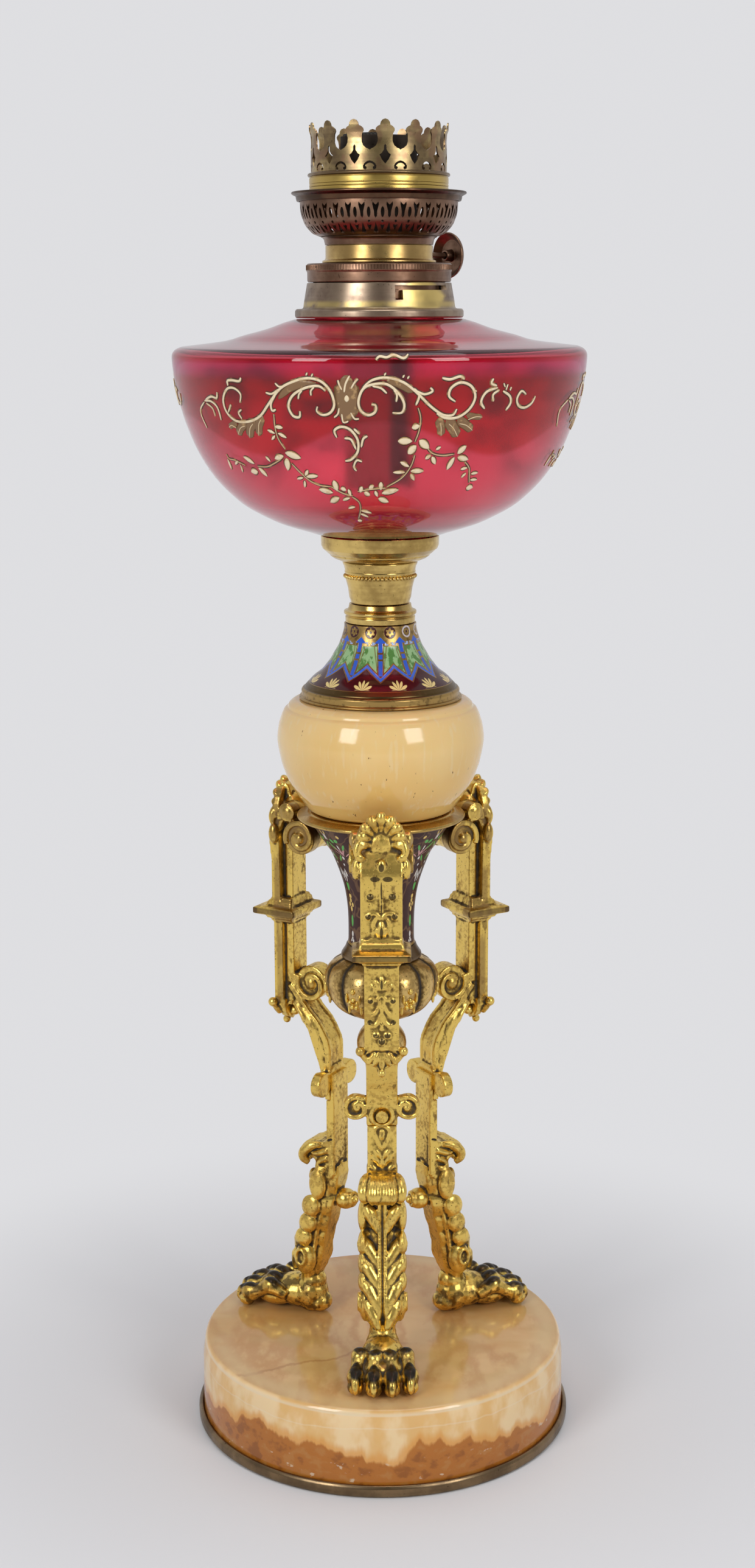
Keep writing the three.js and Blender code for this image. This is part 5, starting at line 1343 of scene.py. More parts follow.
# %% Lower leg: acanthus hook
hook = through([
    (24.4, 138), (29.9, 136.2), (35.9, 135.6), (41.0, 131.4), (41.6, 127.8), (39.8, 124.6), (37.6, 126.8),
    (34.4, 126.4), (32, 121), (24.4, 118.5),
], 3)
leg.plate(hook, -7.4, 7.4)
tip = (34.6, 2.3, 135.6), (38.8, 2.6, 133.8), (41.6, 2.7, 130.2), (41.8, 2.6, 127.0), (39.4, 2.2, 124.0)
for k in range(-2, 3):
    leg.rod([(x, k * y, z) for x, y, z in tip], [1.0, 1.6, 1.9, 1.9, 1.2])
flanks = (
    ((31, 7.0, 135.0), (35.6, 8.4, 134.0), (39.4, 9.2, 130.6), (39.8, 9.0, 127.0), (37.4, 7.8, 124.4)),
    ((27, 7.2, 132.5), (32, 7.4, 130.5), (36, 7.6, 129.6)),
    ((27, 7.2, 128.5), (31, 7.4, 126.5), (33.4, 7.6, 123)),
)
for side in (-1, 1):
    for points, radii in zip(flanks, ([1.4, 2.4, 2.6, 2.3, 1.4], [1.2, 1.5, 0.8], [1.2, 1.5, 0.8])):
        leg.rod([(x, side * y, z) for x, y, z in points], radii)
leg.tell("hook")


# %% [markdown]
# The leaf that wraps the shaft is a loft with a scalloped edge, because its half width swells and shrinks
# five times on the way down. Lobes lie on its front, a row of balls and an oval with a ring on each flank.

# %% Lower leg: the leaf's skin
def blade(level, half, rib, flank, edge, back):
    """One level of the leaf: how far out its rib, flanks, curled edges and back lie."""
    side = [(rib, 0.8), (rib - 1.2, 2.0), (flank, half * 0.5), (edge - 0.8, half * 0.76), (edge, half * 0.9),
            (edge - 1.8, half), (edge - 5, half * 0.93), ((edge + back) / 2, half * 0.8), (back, half * 0.5)]
    return [(x, y, level) for x, y in side] + [(x, -y, level) for x, y in reversed(side)]


leg.loft([blade(*row) for row in (
    (124, 9.2, 34.4, 32.0, 33.0, 22.4), (119, 10.8, 35.4, 32.4, 35.2, 22.1),
    (114, 10.4, 35.8, 32.8, 35.4, 23.0), (110.5, 9.2, 36.4, 33.4, 34.4, 23.8),
    (108.5, 8.4, 36.9, 33.8, 33.4, 24.2), (106.5, 11.2, 37.4, 34.2, 37.4, 24.6),
    (103, 12.3, 38.5, 35.2, 39.4, 25.3), (99.5, 11.8, 39.8, 36.4, 39.6, 26.2),
    (97, 10.4, 40.6, 37.2, 37.8, 26.8), (94.5, 11.3, 41.4, 38.0, 40.8, 27.4),
    (91, 11.2, 42.6, 39.0, 42.0, 28.4), (88, 9.9, 43.8, 40.2, 40.6, 29.4),
    (85.5, 11.0, 44.8, 41.2, 43.6, 30.1), (82.5, 10.8, 46.0, 42.2, 44.4, 30.7),
    (80, 9.6, 46.8, 43.2, 42.8, 31.1), (76, 10.2, 47.7, 44.2, 44.4, 31.7),
    (71, 9.6, 48.0, 44.6, 45.2, 32.8), (67, 8.2, 47.5, 44.4, 45.0, 34.0),
    (63.5, 6.2, 46.4, 44.0, 44.4, 35.6), (60, 5.2, 45.4, 43.6, 44.2, 36.2),
    (50, 6.0, 45.6, 44.0, 44.6, 35.4),
)])
leg.tell("leaf")

# %% Lower leg: the leaf's lobes
middle_rib = (
    (35.2, 1.5, 123), (36.4, 1.5, 112), (39.6, 1.4, 101), (43.0, 1.4, 91), (46.8, 1.3, 81), (48.6, 1.4, 73),
    (47.6, 2.2, 66),
)
inner_rib = (29.4, 6.6, 108), (31.4, 7.2, 97), (34.0, 7.2, 86), (35.4, 6.8, 76)
for side in (-1, 1):
    leg.rod([(x, side * y, z) for x, y, z in middle_rib], 0.85, sides=8)
    for rib, low, high, reach in ((35.4, 108, 121, 8.6), (38.4, 90, 105, 10.6), (42.0, 81, 95.6, 10.2),
                                  (45.0, 72, 86.6, 9.8), (47.0, 64, 77, 8.6)):
        slope = 0.42 if low < 100 else 0.1
        leg.rod([(rib + slope * (high - low) * (0.5 - part), side * y, low + (high - low) * part)
                 for part, y in ((0, 1.8), (0.4, 3.8), (0.75, reach * 0.68), (1, reach * 0.9))],
                [1.4, 2.9, 3.3, 1.7], sides=12)
    for x, z, long, tall, lean in ((31.6, 114.5, 4.8, 8.0, 0), (35.6, 102.4, 5.2, 6.0, -14),
                                   (37.4, 93.2, 5.0, 5.4, -18), (40.0, 85.0, 4.8, 5.0, -22)):
        leg.ball((x, side * 9.4, z), (long, 2.4, tall), lean, "Y")
    leg.ball((39.8, side * 8.2, 73), (6.2, 3.2, 8.4), -8, "Y")
    ring = [(40.8 + 2.7 * u, side * 11.2, 74.6 + 4.0 * v) for u, v in circle(0, 0, 1, 12)]
    leg.rod([*ring, ring[0]], 0.95, sides=8, steps=2)
    leg.rod([(x, side * y, z) for x, y, z in inner_rib], [0.8, 1.1, 1.1, 0.8], sides=8)
leg.tell("lobes")

# %% Lower leg: paw
for place, radii in (
    ((41.5, 0, 51.8), (9.0, 8.4, 10.4)), ((49, 0, 51.5), (12.5, 10.4, 8.4)),
    ((60, 0, 49.6), (12.8, 13.4, 7.2)),
    ((40, 0, 59), (6.6, 6.6, 6)), ((36.5, 0, 48), (6.4, 6.6, 5.4)),
):
    leg.ball(place, radii)
TOE_PITCH = 8.5
for k, reach in ((-1.5, 77.4), (-0.5, 80), (0.5, 80), (1.5, 77.4)):
    y = k * TOE_PITCH
    toe = (27, 0.74, 51.5), (19, 0.86, 54.8), (13.5, 0.93, 52.4), (8, 1, 50.2), (4.5, 1.01, 48.4)
    nail = (5.0, 1, 53.0), (2.0, 1.01, 50.6), (0.7, 1.01, 47.0), (1.2, 1.01, 44.4)
    leg.rod([(reach - back, y * share, z) for back, share, z in toe], [2.8, 4.0, 3.3, 4.1, 3.3], sides=12)
    leg.ball((reach - 18.4, y * 0.86, 55.6), (4.6, 4.1, 4.0))
    leg.ball((reach - 7.4, y, 50.2), (5.2, 4.35, 4.9))
    leg.ball((reach - 5.4, y * 1.01, 46.4), (4.4, 4.0, 3.6))
    leg.rod([(reach - back, y * share, z) for back, share, z in nail], [1.4, 2.0, 1.7, 0.6])
leg.tell("paw")

# %% [markdown]
# The cast leg is filed flat where it stands on the onyx, and drilled for its screw.

# %% Lower leg: flat sole and screw hole
SOLE = 42.7
below_sole = block_form((140, 90, 20), (50, 0, SOLE - 10))
leg_mesh = cut_from(cast("leg", leg), [below_sole, rod_form(SCREW_CIRCLE, 0, SHAFT, 40, 53.7)])
set_of_castings("leg", leg_mesh, leg_gilt)

# %% [markdown]
# ## Font
# The font is a thick ruby glass bowl, so it is a real shell with an inner wall, and the light is coloured
# twice as it passes. The inner wall follows the outer one at three millimetres.

# %% Ruby glass
ruby = Finish("ruby_glass", (0.94, 0.22, 0.30), Roughness=0.03, IOR=1.47, Transmission_Weight=1.0)
inner_wall = ruby.attribute("inner_wall")
# Painted shade and reflection: a deeper red above a wavy line under the rim, lowest at the upper left and
# right.
edge = ((ruby.angle + math.radians(90)) * 5).cosine() * 7.5 + 486
ruby.layer((0.74, 0.03, 0.05), (ruby.z - edge).over(0, 1.6) * (ruby.z.under(521, 2)))
# A painted highlight: a bright magenta band just under the rim.
ruby.layer((0.95, 0.14, 0.42), ruby.z.near(514.5, 3.2, 2) * 0.8)
# A painted reflection: a dark red round the bottom of the bowl, near the stem.
ruby.layer((0.45, 0.02, 0.035), ruby.z.under(446, 4) * 0.8)
ruby.drive("Roughness", 0.02 + ruby.noise(9, 3) * 0.05 + inner_wall * 0.16)
ruby.relief(ruby.noise(40, 2), 0.12, 0.35)

bowl = through([
    (26, 437.5), (30, 438.4), (34.5, 439.8), (43.7, 442.6), (50.8, 445.5), (61.4, 451.2), (68.4, 456.9),
    (73.9, 462.5), (78.1, 468), (81.6, 473.6), (84.4, 479), (86.7, 484.6), (88.7, 490), (90.4, 495.6),
    (92, 501), (93, 506.5), (93.7, 512), (94.2, 517.3), (94.0, 520), (92.5, 521.9), (90, 523),
], 3)
shoulder = through([(90, 523), (70.6, 525.4), (61.5, 528), (51.2, 530.7), (43.7, 533.4), (38, 535.1)], 3)[1:]
font_profile = bowl + shoulder


def moved_in(profile, wall):
    """The profile moved in by the wall's thickness, square to itself."""
    inner = []
    for i, (radius, level) in enumerate(profile):
        ahead = heading(profile, i)
        inner.append((radius - ahead.y * wall, level + ahead.x * wall))
    return inner


WALL = 3
inside = [p for p in moved_in(font_profile, WALL) if p[0] > 26 and 441.5 < p[1] < 531.9]
font_outline = [(0, 436.7), (24, 437), *font_profile, (29, 535.2), (29, 541), (25.5, 541), (25.5, 532.1)]
font_outline += inside[::-1] + [(0, 440.6)]
font = turned("glass_font", font_outline, ruby, reach=0.4)
marks = font.data.attributes.new("inner_wall", "FLOAT", "POINT")
for spot, mark in zip(font.data.vertices, marks.data):
    radius, level = spot.co.xy.length / MM, spot.co.z / MM
    depth_in = min((Vector((radius, level)) - Vector(p)).length for p in font_profile)
    mark.value = 1.0 if depth_in > WALL / 2 and 440 < level < 533 else 0.0
print("inner wall:", sum(mark.value > 0.5 for mark in marks.data), "of", len(marks.data), "points")

# %% [markdown]
# ### Enamel scrolls on the font
# The bowl is painted with raised cream enamel: shell scrolls and a leaf garland, the same drawing three times
# round. A brush leaves a low bead, so each stroke is a flat bead laid on the glass along a few points
# (across, height). A wider dark one under it is the brown outline, and "tone" keeps which colour is where.
# The tone also falls on each bead's flanks, so they come out browner: that is painted shade on the relief.

# %% Brushwork
WIDEST = 94


def on_bowl(across, height, lift):
    """A point of the flat drawing, laid on the glass; across is measured where the bowl is widest."""
    for (r0, z0), (r1, z1) in zip(font_profile, font_profile[1:]):
        if z1 >= height:
            break
    share = (height - z0) / (z1 - z0)
    out = Vector((z1 - z0, r0 - r1)).normalized() * lift
    radius = r0 + (r1 - r0) * share + out.x
    turn = across / WIDEST
    return Vector((radius * math.cos(turn), radius * math.sin(turn), height + out.y)) * MM


class Brush:
    def __init__(self):
        self.form = bmesh.new()
        self.tone = self.form.verts.layers.float.new("tone")

    def bead(self, path, halves, rise, tone, lift):
        rows = []
        for i, (u, v) in enumerate(path):
            ahead = heading(path, i)
            row = []
            for side, high in ((-1, 0), (-0.7, 0.65), (0, 1), (0.7, 0.65), (1, 0)):
                x, y = u - ahead.y * halves[i] * side, v + ahead.x * halves[i] * side
                row.append(self.form.verts.new(on_bowl(x, y, lift + rise * high)))
                # Painted shade: the tone falls to half at the bead's flanks, so its sides take the browner
                # colours.
                row[-1][self.tone] = tone * (0.5 + 0.5 * high)
            rows.append(row)
        for low, high in zip(rows, rows[1:]):
            for i in range(5):
                self.form.faces.new((low[i - 1], low[i], high[i], high[i - 1]))
        self.form.faces.new(rows[0])
        self.form.faces.new(rows[-1][::-1])

    def stroke(self, points, width, tone=1.0):
        """A stroke that swells in its middle, over its dark outline."""
        path = through(points, 4)
        last = len(path) - 1
        halves = []
        for i in range(last + 1):
            full = min(0.5, 0.08 + 2.2 * min(i, last - i) / last)
            halves.append(width * 0.62 * (0.35 + 0.65 * math.sin(math.pi * full)))
        self.bead(path, [h + 0.42 for h in halves], 0.08, 0.0, 0.02)
        self.bead(path, halves, 0.34, tone, 0.07)

    def petal(self, across, height, length, width, lean, tone=0.92):
        """A leaf about a middle; lean is its direction, in degrees from straight to the right."""
        way = Vector((math.cos(math.radians(lean)), math.sin(math.radians(lean)))) * length / 2
        path = [(across + way.x * t, height + way.y * t) for t in (-1, -0.7, -0.25, 0.25, 0.7, 1)]
        halves = [width * 0.5 * share for share in (0.15, 0.7, 1.0, 0.95, 0.6, 0.1)]
        self.bead(path, [h + 0.3 for h in halves], 0.08, 0.0, 0.02)
        self.bead(path, halves, 0.36, tone, 0.07)

    def wash(self, points, halves):
        """A thin brown patch under the strokes."""
        path = through(points, 3)
        last = len(path) - 1
        spread = []
        for i in range(last + 1):
            full = min(1, 0.25 + 4 * min(i, last - i) / last)
            spread.append(halves[min(int(i / 3), len(halves) - 1)] * full)
        self.bead(path, spread, 0.14, 0.30, 0.03)


brush = Brush()

# %% Scrolls to the left and in the middle
brush.wash([(0, 513), (0, 508), (0, 500), (0, 494)], [3.2, 5.4, 4.8])
brush.wash([(-13, 509.8), (-20, 509.4), (-26, 507), (-31, 503)], [1.0, 2.0, 1.6])
for root, tip, half in (
    ((-41, 496), (-45, 487), 2.4), ((-46, 494), (-51, 486), 2.7), ((-51, 493), (-58, 487), 2.3),
    ((-57, 492), (-63, 490), 1.5),
):
    middle = ((root[0] + tip[0]) / 2 - 0.8, (root[1] + tip[1]) / 2)
    brush.wash([root, middle, tip], [half, half * 0.9])
    brush.stroke([(root[0] - 1, root[1] - 2), middle, tip], 0.45, 0.8)
brush.stroke([(-13, 500), (-13.5, 498), (-11, 496.5), (-7.5, 497.5), (-5.5, 501), (-7, 506.5), (-11, 510.5),
              (-17, 511.7), (-24, 510), (-30, 507), (-36, 501), (-42, 495.5), (-49, 493), (-57, 493),
              (-62, 496.5),
              (-62.5, 502), (-59, 506.5), (-54.5, 507), (-51, 504.5), (-52, 501)], 1.0)
brush.stroke([(-9, 506.5), (-12, 508.5), (-18, 507.7), (-24, 504.5), (-26.5, 500), (-25, 496), (-22, 495.5),
              (-21.3, 498)], 1.0)
for hook, width in (
    ([(-21.5, 503), (-21, 505), (-19.5, 506.5)], 0.7), ([(-15.5, 504.5), (-15.5, 506.5), (-14, 508)], 0.7),
    ([(-37, 505.5), (-34, 505), (-30.5, 507)], 0.8), ([(-32, 509.5), (-30, 508), (-27.5, 508.5)], 0.7),
    ([(-32, 505), (-35, 501), (-35, 498), (-33, 498.5)], 0.9),
    ([(-52, 498), (-54.3, 496.5), (-53, 494)], 0.7),
    ([(-58, 508), (-58, 510), (-55, 510.3), (-51, 510), (-49.8, 511.5)], 1.0),
    ([(-58, 500), (-61, 496.5)], 0.7),
    ([(-76, 501.5), (-71, 503), (-67, 502.5), (-66, 505)], 0.9),
    ([(-76, 500), (-72, 498), (-71.5, 494.5)], 0.7),
    ([(-77, 501), (-72, 501), (-68, 498.5), (-67.5, 493)], 0.9),
    ([(-77.5, 500.5), (-84, 496), (-82, 489)], 0.7),
    ([(-3.5, 511), (-3, 509), (-2, 507)], 0.7), ([(-1, 506), (-0.3, 509.5), (1.5, 512.8)], 0.8),
    ([(2, 507.5), (3.5, 510), (5, 511.5)], 0.7), ([(-3.5, 499.5), (-4.2, 497), (-6, 495.5)], 0.7),
    ([(-2.5, 497), (-2, 493.5), (0.3, 494)], 0.7), ([(1.5, 497.5), (3, 495), (5, 495)], 0.7),
    ([(-5.5, 487), (-6.3, 490), (-3, 491.6), (1, 490.3), (4, 486), (3.7, 481), (0.5, 477.7),
      (-2.5, 477)], 1.0),
    ([(-2, 486.7), (1, 486.2), (3, 482)], 0.9), ([(2.5, 490.8), (5, 488.5)], 0.9),
    ([(8.5, 487.7), (6.5, 486.5), (5.5, 483)], 0.9),
    ([(5.5, 476.7), (3, 477.3), (1.4, 474.5), (2.5, 472.7)], 0.8),
):
    brush.stroke(hook, width)
brush.petal(0, 503.4, 2.8, 2.6, 90)
for across, height in ((-17, 513.4), (-14.6, 513), (16.3, 513.4), (24, 512.5), (26, 512)):
    brush.petal(across, height, 1.5, 0.9, 60)
print("left and middle:", len(brush.form.faces), "faces")

# %% Scrolls to the right
brush.wash([(17, 510.9), (23, 508.9), (28, 506)], [1.5, 1.7])
for root, tip, half in (
    ((40, 495), (42, 487.5), 2.2), ((44, 494.5), (50, 487), 2.8), ((49, 494.5), (57, 489.5), 2.3),
    ((53, 496), (61, 495), 1.5),
):
    middle = ((root[0] + tip[0]) / 2 + 0.6, (root[1] + tip[1]) / 2 - 0.3)
    brush.wash([root, middle, tip], [half, half * 0.9])
    brush.stroke([(root[0] + 1, root[1] - 2), middle, tip], 0.45, 0.8)
brush.stroke([(10.5, 501), (12.3, 500.5), (12, 497.8), (9, 496.5), (5.8, 498.5), (5, 502.5), (7, 507.3),
              (11, 509.2), (17, 509.3), (22, 505.5), (24.5, 501), (23.5, 497.5), (19.5, 497.5)], 1.0)
brush.stroke([(7, 508), (11, 511), (17, 512), (24, 510), (30, 505.5), (36, 500), (42, 496.3), (46.5, 496.2),
              (48, 498.7)], 1.0)
brush.stroke([(39, 497), (43, 495), (49, 495.2), (54, 498.5), (56.2, 503.5), (54, 508), (49, 509.7),
              (44.7, 507.5), (44, 504), (47, 501.8)], 1.05)
for hook, width in (
    ([(21, 502), (21.3, 504.8), (20, 507)], 0.8), ([(11, 508.5), (14.5, 507.7), (17, 505.5)], 0.8),
    ([(29.5, 506.5), (33, 505), (36.5, 506.2), (35.5, 507.7)], 0.9),
    ([(28.5, 507.5), (30.8, 504.5), (29.5, 500.5)], 0.9),
    ([(40.5, 511.7), (44, 511), (48.5, 512.2), (50.5, 511)], 1.0),
    ([(61.5, 498.5), (59.3, 501.5), (61.5, 505.5), (67, 507.2)], 1.0),
    ([(70, 505.7), (74, 503.5), (75, 500.5), (73, 497.5)], 1.0),
    ([(65.5, 501.5), (65, 504.3), (68, 506.2)], 0.9),
    ([(66.5, 508), (63.7, 509), (64.5, 511)], 0.9), ([(70, 509), (71, 507.3)], 0.6),
    ([(72.3, 508.5), (71.5, 506)], 0.6), ([(74.3, 507.3), (73.8, 505.8)], 0.6),
    ([(83.5, 504), (80.5, 505.4), (78.4, 502.3), (80, 499.3), (84, 498.3), (88, 500), (89.7, 503)], 0.95),
    ([(12.5, 519.2), (14, 520.6), (17, 520.2), (20, 521.2), (24, 519.8), (26, 521.4)], 0.9),
):
    brush.stroke(hook, width)
print("with the right:", len(brush.form.faces), "faces")

# %% Leaf garland
for stem in (
    [(-34.5, 496.5), (-35, 491), (-34.5, 486), (-32, 481.5)],
    [(-36, 477), (-41, 475), (-46, 473.5), (-52, 473.5)],
    [(-72.5, 478), (-72, 476), (-67.5, 475.5), (-61, 473.5)],
    [(-30.5, 475.5), (-27, 471.5), (-23, 468), (-18, 466), (-12, 465.5)],
    [(-1.5, 461), (2, 458.5), (2, 454.5), (-0.5, 450.5)],
    [(30.5, 499.5), (32, 495), (31.5, 489.5), (30, 485)],
    [(36, 482.5), (39, 480), (44, 479), (50, 479.5)], [(56.5, 476), (60, 473), (61.5, 469.5), (63, 466.5)],
    [(30.5, 479.5), (29, 474.5), (25, 469.5), (17.5, 465.5)], [(-12, 465.5), (-6, 462.5), (-1, 461.5)],
    [(2, 463.5), (9, 464.5), (17, 465)],
):
    brush.stroke(stem, 0.5, 0.75)
for leaf in (
    (-33, 491, 4, 2, -5), (-37.5, 489, 4, 1.5, -20), (-32, 487.5, 4.5, 1.8, -25), (-37, 486.5, 3, 1.4, 40),
    (-36.5, 478, 5.5, 2.7, 15), (-28.5, 479, 8, 3.5, -15), (-33, 475, 5.5, 3.6, -105),
    (-56.5, 476, 6.5, 2.5, -25),
    (-56, 471, 5, 3, 5), (-50, 471, 5, 2.7, -45), (-43.5, 477, 3, 1.5, -45), (-65, 472, 3.5, 1.3, 70),
    (-67, 474.5, 4, 1.3, 25), (-74, 473.5, 5, 2, 75), (-23.5, 471.5, 3.4, 1.8, 45), (-21, 470, 6.5, 2.1, 5),
    (-28, 469, 4, 1.3, 10), (-26.5, 466.5, 3.4, 1.5, 65), (-15.5, 463.5, 7.5, 2.8, -10),
    (-9.5, 466, 4.8, 3.4, -80),
    (-12, 459.5, 6.5, 2.7, 20), (-5.5, 464.5, 3, 2.2, -15), (-2.5, 463, 3.2, 2, -75), (-5, 460, 4.5, 1.5, 15),
    (4, 464.5, 3, 2.4, 60), (7, 462.5, 3.4, 2.4, -20), (9.5, 465.5, 3, 2.2, 30), (12, 462.5, 3, 2, -60),
    (14.5, 466, 3.6, 2.6, -90), (19.5, 463.5, 9, 2.9, 10), (16, 459.5, 6, 2.7, -15),
    (5.5, 454, 6.5, 1.4, -10),
    (4, 452.3, 5, 1.3, -18), (-3, 456, 4.5, 1.2, 10), (0, 449.6, 3, 1.6, 0), (30, 491.5, 3.6, 2.8, 15),
    (25.5, 485.5, 6.5, 3.5, 0), (29, 481.8, 5, 3.8, 45), (34.5, 484, 6, 3.8, -35),
    (41.5, 482.2, 2.6, 1.5, 30),
    (37, 478.5, 3, 2, 30), (40, 477, 4, 2.4, -55), (53.5, 481.3, 5, 3.1, 40), (55, 477.5, 6, 2.8, -10),
    (49, 475.5, 6, 2.8, 65), (57, 473, 3.6, 1.5, 10), (58, 470, 2.8, 1.4, 45), (64, 470.7, 4, 1.5, 5),
    (65, 467.8, 4.2, 1.4, 0), (64.5, 464.3, 4, 2.8, 0), (26, 475.5, 5, 1.9, -25), (23.5, 472, 6, 1.6, 0),
    (32.5, 472.5, 6.5, 2.4, 0), (30.5, 469.8, 3.6, 1.8, -50), (55.8, 506, 1.8, 1.3, 0),
):
    brush.petal(*leaf)
bmesh.ops.recalc_face_normals(brush.form, faces=brush.form.faces)
print("whole drawing:", len(brush.form.faces), "faces")

# %% The enamel's colours
font_enamel = Finish("font_enamel", (0.84, 0.70, 0.47), Roughness=0.3)
tone = font_enamel.attribute("tone")
# The browner colours go to low tones: the washes and outlines by their own colour, the bead flanks as painted
# shade.
font_enamel.layer((0.50, 0.31, 0.13), tone.under(0.72, 0.1))
font_enamel.layer((0.22, 0.12, 0.05), tone.under(0.38, 0.05))
font_enamel.layer((0.075, 0.03, 0.018), tone.under(0.1, 0.05))
font_enamel.layer((0.60, 0.38, 0.16), font_enamel.noise(3, 3).over(0.6, 0.05) * 0.5)
DRAWING_ANGLE = -98.6
drawing = ring_of("font_enamel", brush.form, 3, font_enamel, DRAWING_ANGLE)
piece("font_enamel", drawing, font_enamel)

# %% [markdown]
# ## Burner
# The collar is cemented on the font's neck and has two bayonet slots. The burner's cap turns in them. Its
# rim is knurled for the fingers: one small ridge, repeated 150 times by the ring tree.

# %% Collar
collar_outline = [
    (29.3, 535.5), (37.6, 535.5), (38.2, 536.2), (38.2, 538.6), (37.5, 539.5), (35, 539.6), (34.4, 540.2),
    (34, 543), (32.6, 551), (30.3, 551), (30.3, 542.5), (29.3, 542.5),
]
SLOT_STARTS = 12, 192
slots = []
for start in SLOT_STARTS:
    slots.append(sector_form(29.5, 39, start, start + 53, 547.7, 549.7))
    slots.append(sector_form(29.5, 39, start, start + 6, 543.5, 549.7))
    slots.append(sector_form(29.5, 32.0, start + 47, start + 53, 547.7, 552))
collar_mesh = sharpened(cut_from(mesh_of(turned_form(collar_outline), "collar"), slots), 35)
collar_brass = turned_metal("collar_brass", (0.37, 0.28, 0.20), (0.17, 0.115, 0.085), 0.3, 0.8)
round_slot = (collar_brass.angle + math.radians(53)).size() * 34
worn_patch = (round_slot + (collar_brass.z - 545).size() * 1.2 + collar_brass.noise(9) * 8).under(17, 3)
collar_brass.layer((0.85, 0.64, 0.22), worn_patch * collar_brass.z.over(540, 0.5) * 0.9)
seam_wear = collar_brass.z.near(541.6, 1.2, 1.0) * collar_brass.noise(7, 4).over(0.42)
collar_brass.layer((0.62, 0.47, 0.18), seam_wear * 0.8)
even_shading(piece("font_collar", collar_mesh, collar_brass, "lamp", ("font_collar",)))

# %% Knurled cap with its lugs
cap_outline = [
    (28.9, 543.9), (29.8, 543.9), (29.8, 551.3), (32.2, 551.3), (32.5, 552), (32.5, 555.6), (32.9, 556.4),
    (32.8, 558.9), (32.2, 559.5), (17.4, 559.5), (17.4, 558.3), (31.3, 558.3), (31.3, 552.4), (28.9, 552.4),
]
knurl = ring_of("knurl", block_form((0.5, 0.55, 2.2), (32.72, 0, 557.7), 45), 150, brown_brass)
lugs = [
    mesh_of(sector_form(29.2, 31.7, start + 0.5, start + 5.5, 548, 549.4), "lug") for start in SLOT_STARTS
]
cap_mesh = joined("cap", mesh_of(turned_form(cap_outline, reach=0.25), "cap"), knurl, *lugs)
even_shading(
    piece("bayonet_cap", sharpened(cap_mesh, 50), brown_brass, "burner", ("bayonet_cap",))
)

# %% Body, with the spindle's bore
SPINDLE_START = (-11.698, 14.972, 563.8)
along_spindle = Matrix.Rotation(math.radians(38), 4, "Z") @ Matrix.Rotation(math.radians(90), 4, "Y")
along_spindle.translation = Vector(SPINDLE_START) * MM
body_outline = [
    (17.4, 559.8), (25.7, 559.8), (25.7, 560.7), (24.5, 561.2), (24.2, 562), (24.2, 567.3), (23.3, 567.3),
    (23.3, 572.5), (22.5, 572.5), (22.5, 560.4), (17.4, 560.4),
]
bore = rod_form(0, 0, 1.85, 8, 52)
bmesh.ops.transform(bore, matrix=along_spindle, verts=bore.verts)
body_mesh = sharpened(cut_from(mesh_of(turned_form(body_outline, reach=0.2), "body"), [bore]), 35)
even_shading(piece("burner_body", body_mesh, bright_brass, "burner", ("burner_body",)))

# %% [markdown]
# ## Pierced sheet
# The basket and the crown were stamped from flat sheet and rolled up, and they are made the same way here.
# One repeat of the pattern is an outline with holes. A constrained Delaunay triangulation fills it, with
# extra points between, so that it bends smoothly. Then it is wrapped round the axis and repeated.


# %% One repeat of a pierced sheet
def holds(outline, x, y):
    inside_it = False
    for (ax, ay), (bx, by) in zip(outline, outline[1:] + outline[:1]):
        if (ay > y) != (by > y) and x < (bx - ax) * (y - ay) / (by - ay) + ax:
            inside_it = not inside_it
    return inside_it


def stepped(outline, step):
    """The closed outline with points at most a step apart."""
    fine = []
    for a, b in zip(outline, outline[1:] + outline[:1]):
        start, end = Vector(a), Vector(b)
        pieces = max(1, math.ceil((end - start).length / step))
        fine += [tuple(start.lerp(end, i / pieces)) for i in range(pieces)]
    return fine


def pierced_form(outline, openings, wrap, spacing=0.9):
    """The sheet inside the outline and outside the openings, with wrap(x, y) as each point's place."""
    def is_sheet(x, y):
        return holds(outline, x, y) and not any(holds(hole, x, y) for hole in openings)

    edges = []
    border = []
    for loop in (outline, *openings):
        first = len(border)
        border += stepped(loop, spacing)
        last = len(border) - 1
        edges += [(i, i + 1) for i in range(first, last)] + [(last, first)]
    points = list(border)
    low_x, low_y = (min(p[k] for p in outline) for k in (0, 1))
    wide, tall = (
        int((max(p[k] for p in outline) - low) / spacing) + 1 for k, low in ((0, low_x), (1, low_y))
    )
    for i in range(wide):
        for j in range(tall):
            x, y = low_x + (i + 0.5 * (j % 2)) * spacing, low_y + j * spacing
            crowded = any((px - x) ** 2 + (py - y) ** 2 < (spacing * 0.55) ** 2 for px, py in border)
            if is_sheet(x, y) and not crowded:
                points.append((x, y))
    found = delaunay_2d_cdt([Vector(p) for p in points], edges, [], 0, TINY)
    form = bmesh.new()
    corners = [form.verts.new(Vector(wrap(p.x, p.y)) * MM) for p in found[0]]
    for face in found[2]:
        if is_sheet(*sum((found[0][i] for i in face), Vector((0, 0))) / len(face)):
            form.faces.new([corners[i] for i in face])
    bmesh.ops.delete(form, geom=[v for v in form.verts if not v.link_faces], context="VERTS")
    return form


# %% The whole sheet
def sheet_piece(name, form, count, wall, finish, first, rim):
    """A pierced sheet repeated round the axis and given its thickness inwards, with its turned rim."""
    form_round = bmesh.new()
    form_round.from_mesh(ring_of(name, form, count, finish, first, weld=0.02))
    bmesh.ops.recalc_face_normals(form_round, faces=form_round.faces)
    face = max(form_round.faces, key=lambda f: f.calc_area())
    middle = face.calc_center_median()
    if face.normal.dot(Vector((middle.x, middle.y, 0))) < 0:
        bmesh.ops.reverse_faces(form_round, faces=form_round.faces)
    thing = placed(name, mesh_of(form_round, name))
    thick = thing.modifiers.new("sheet", "SOLIDIFY")
    thick.thickness = wall * MM
    thick.offset = -1
    whole = joined(name, settled(thing).data, rim)
    bpy.data.objects.remove(thing)
    return piece(name, sharpened(whole, 40), finish, "gallery", (name,))


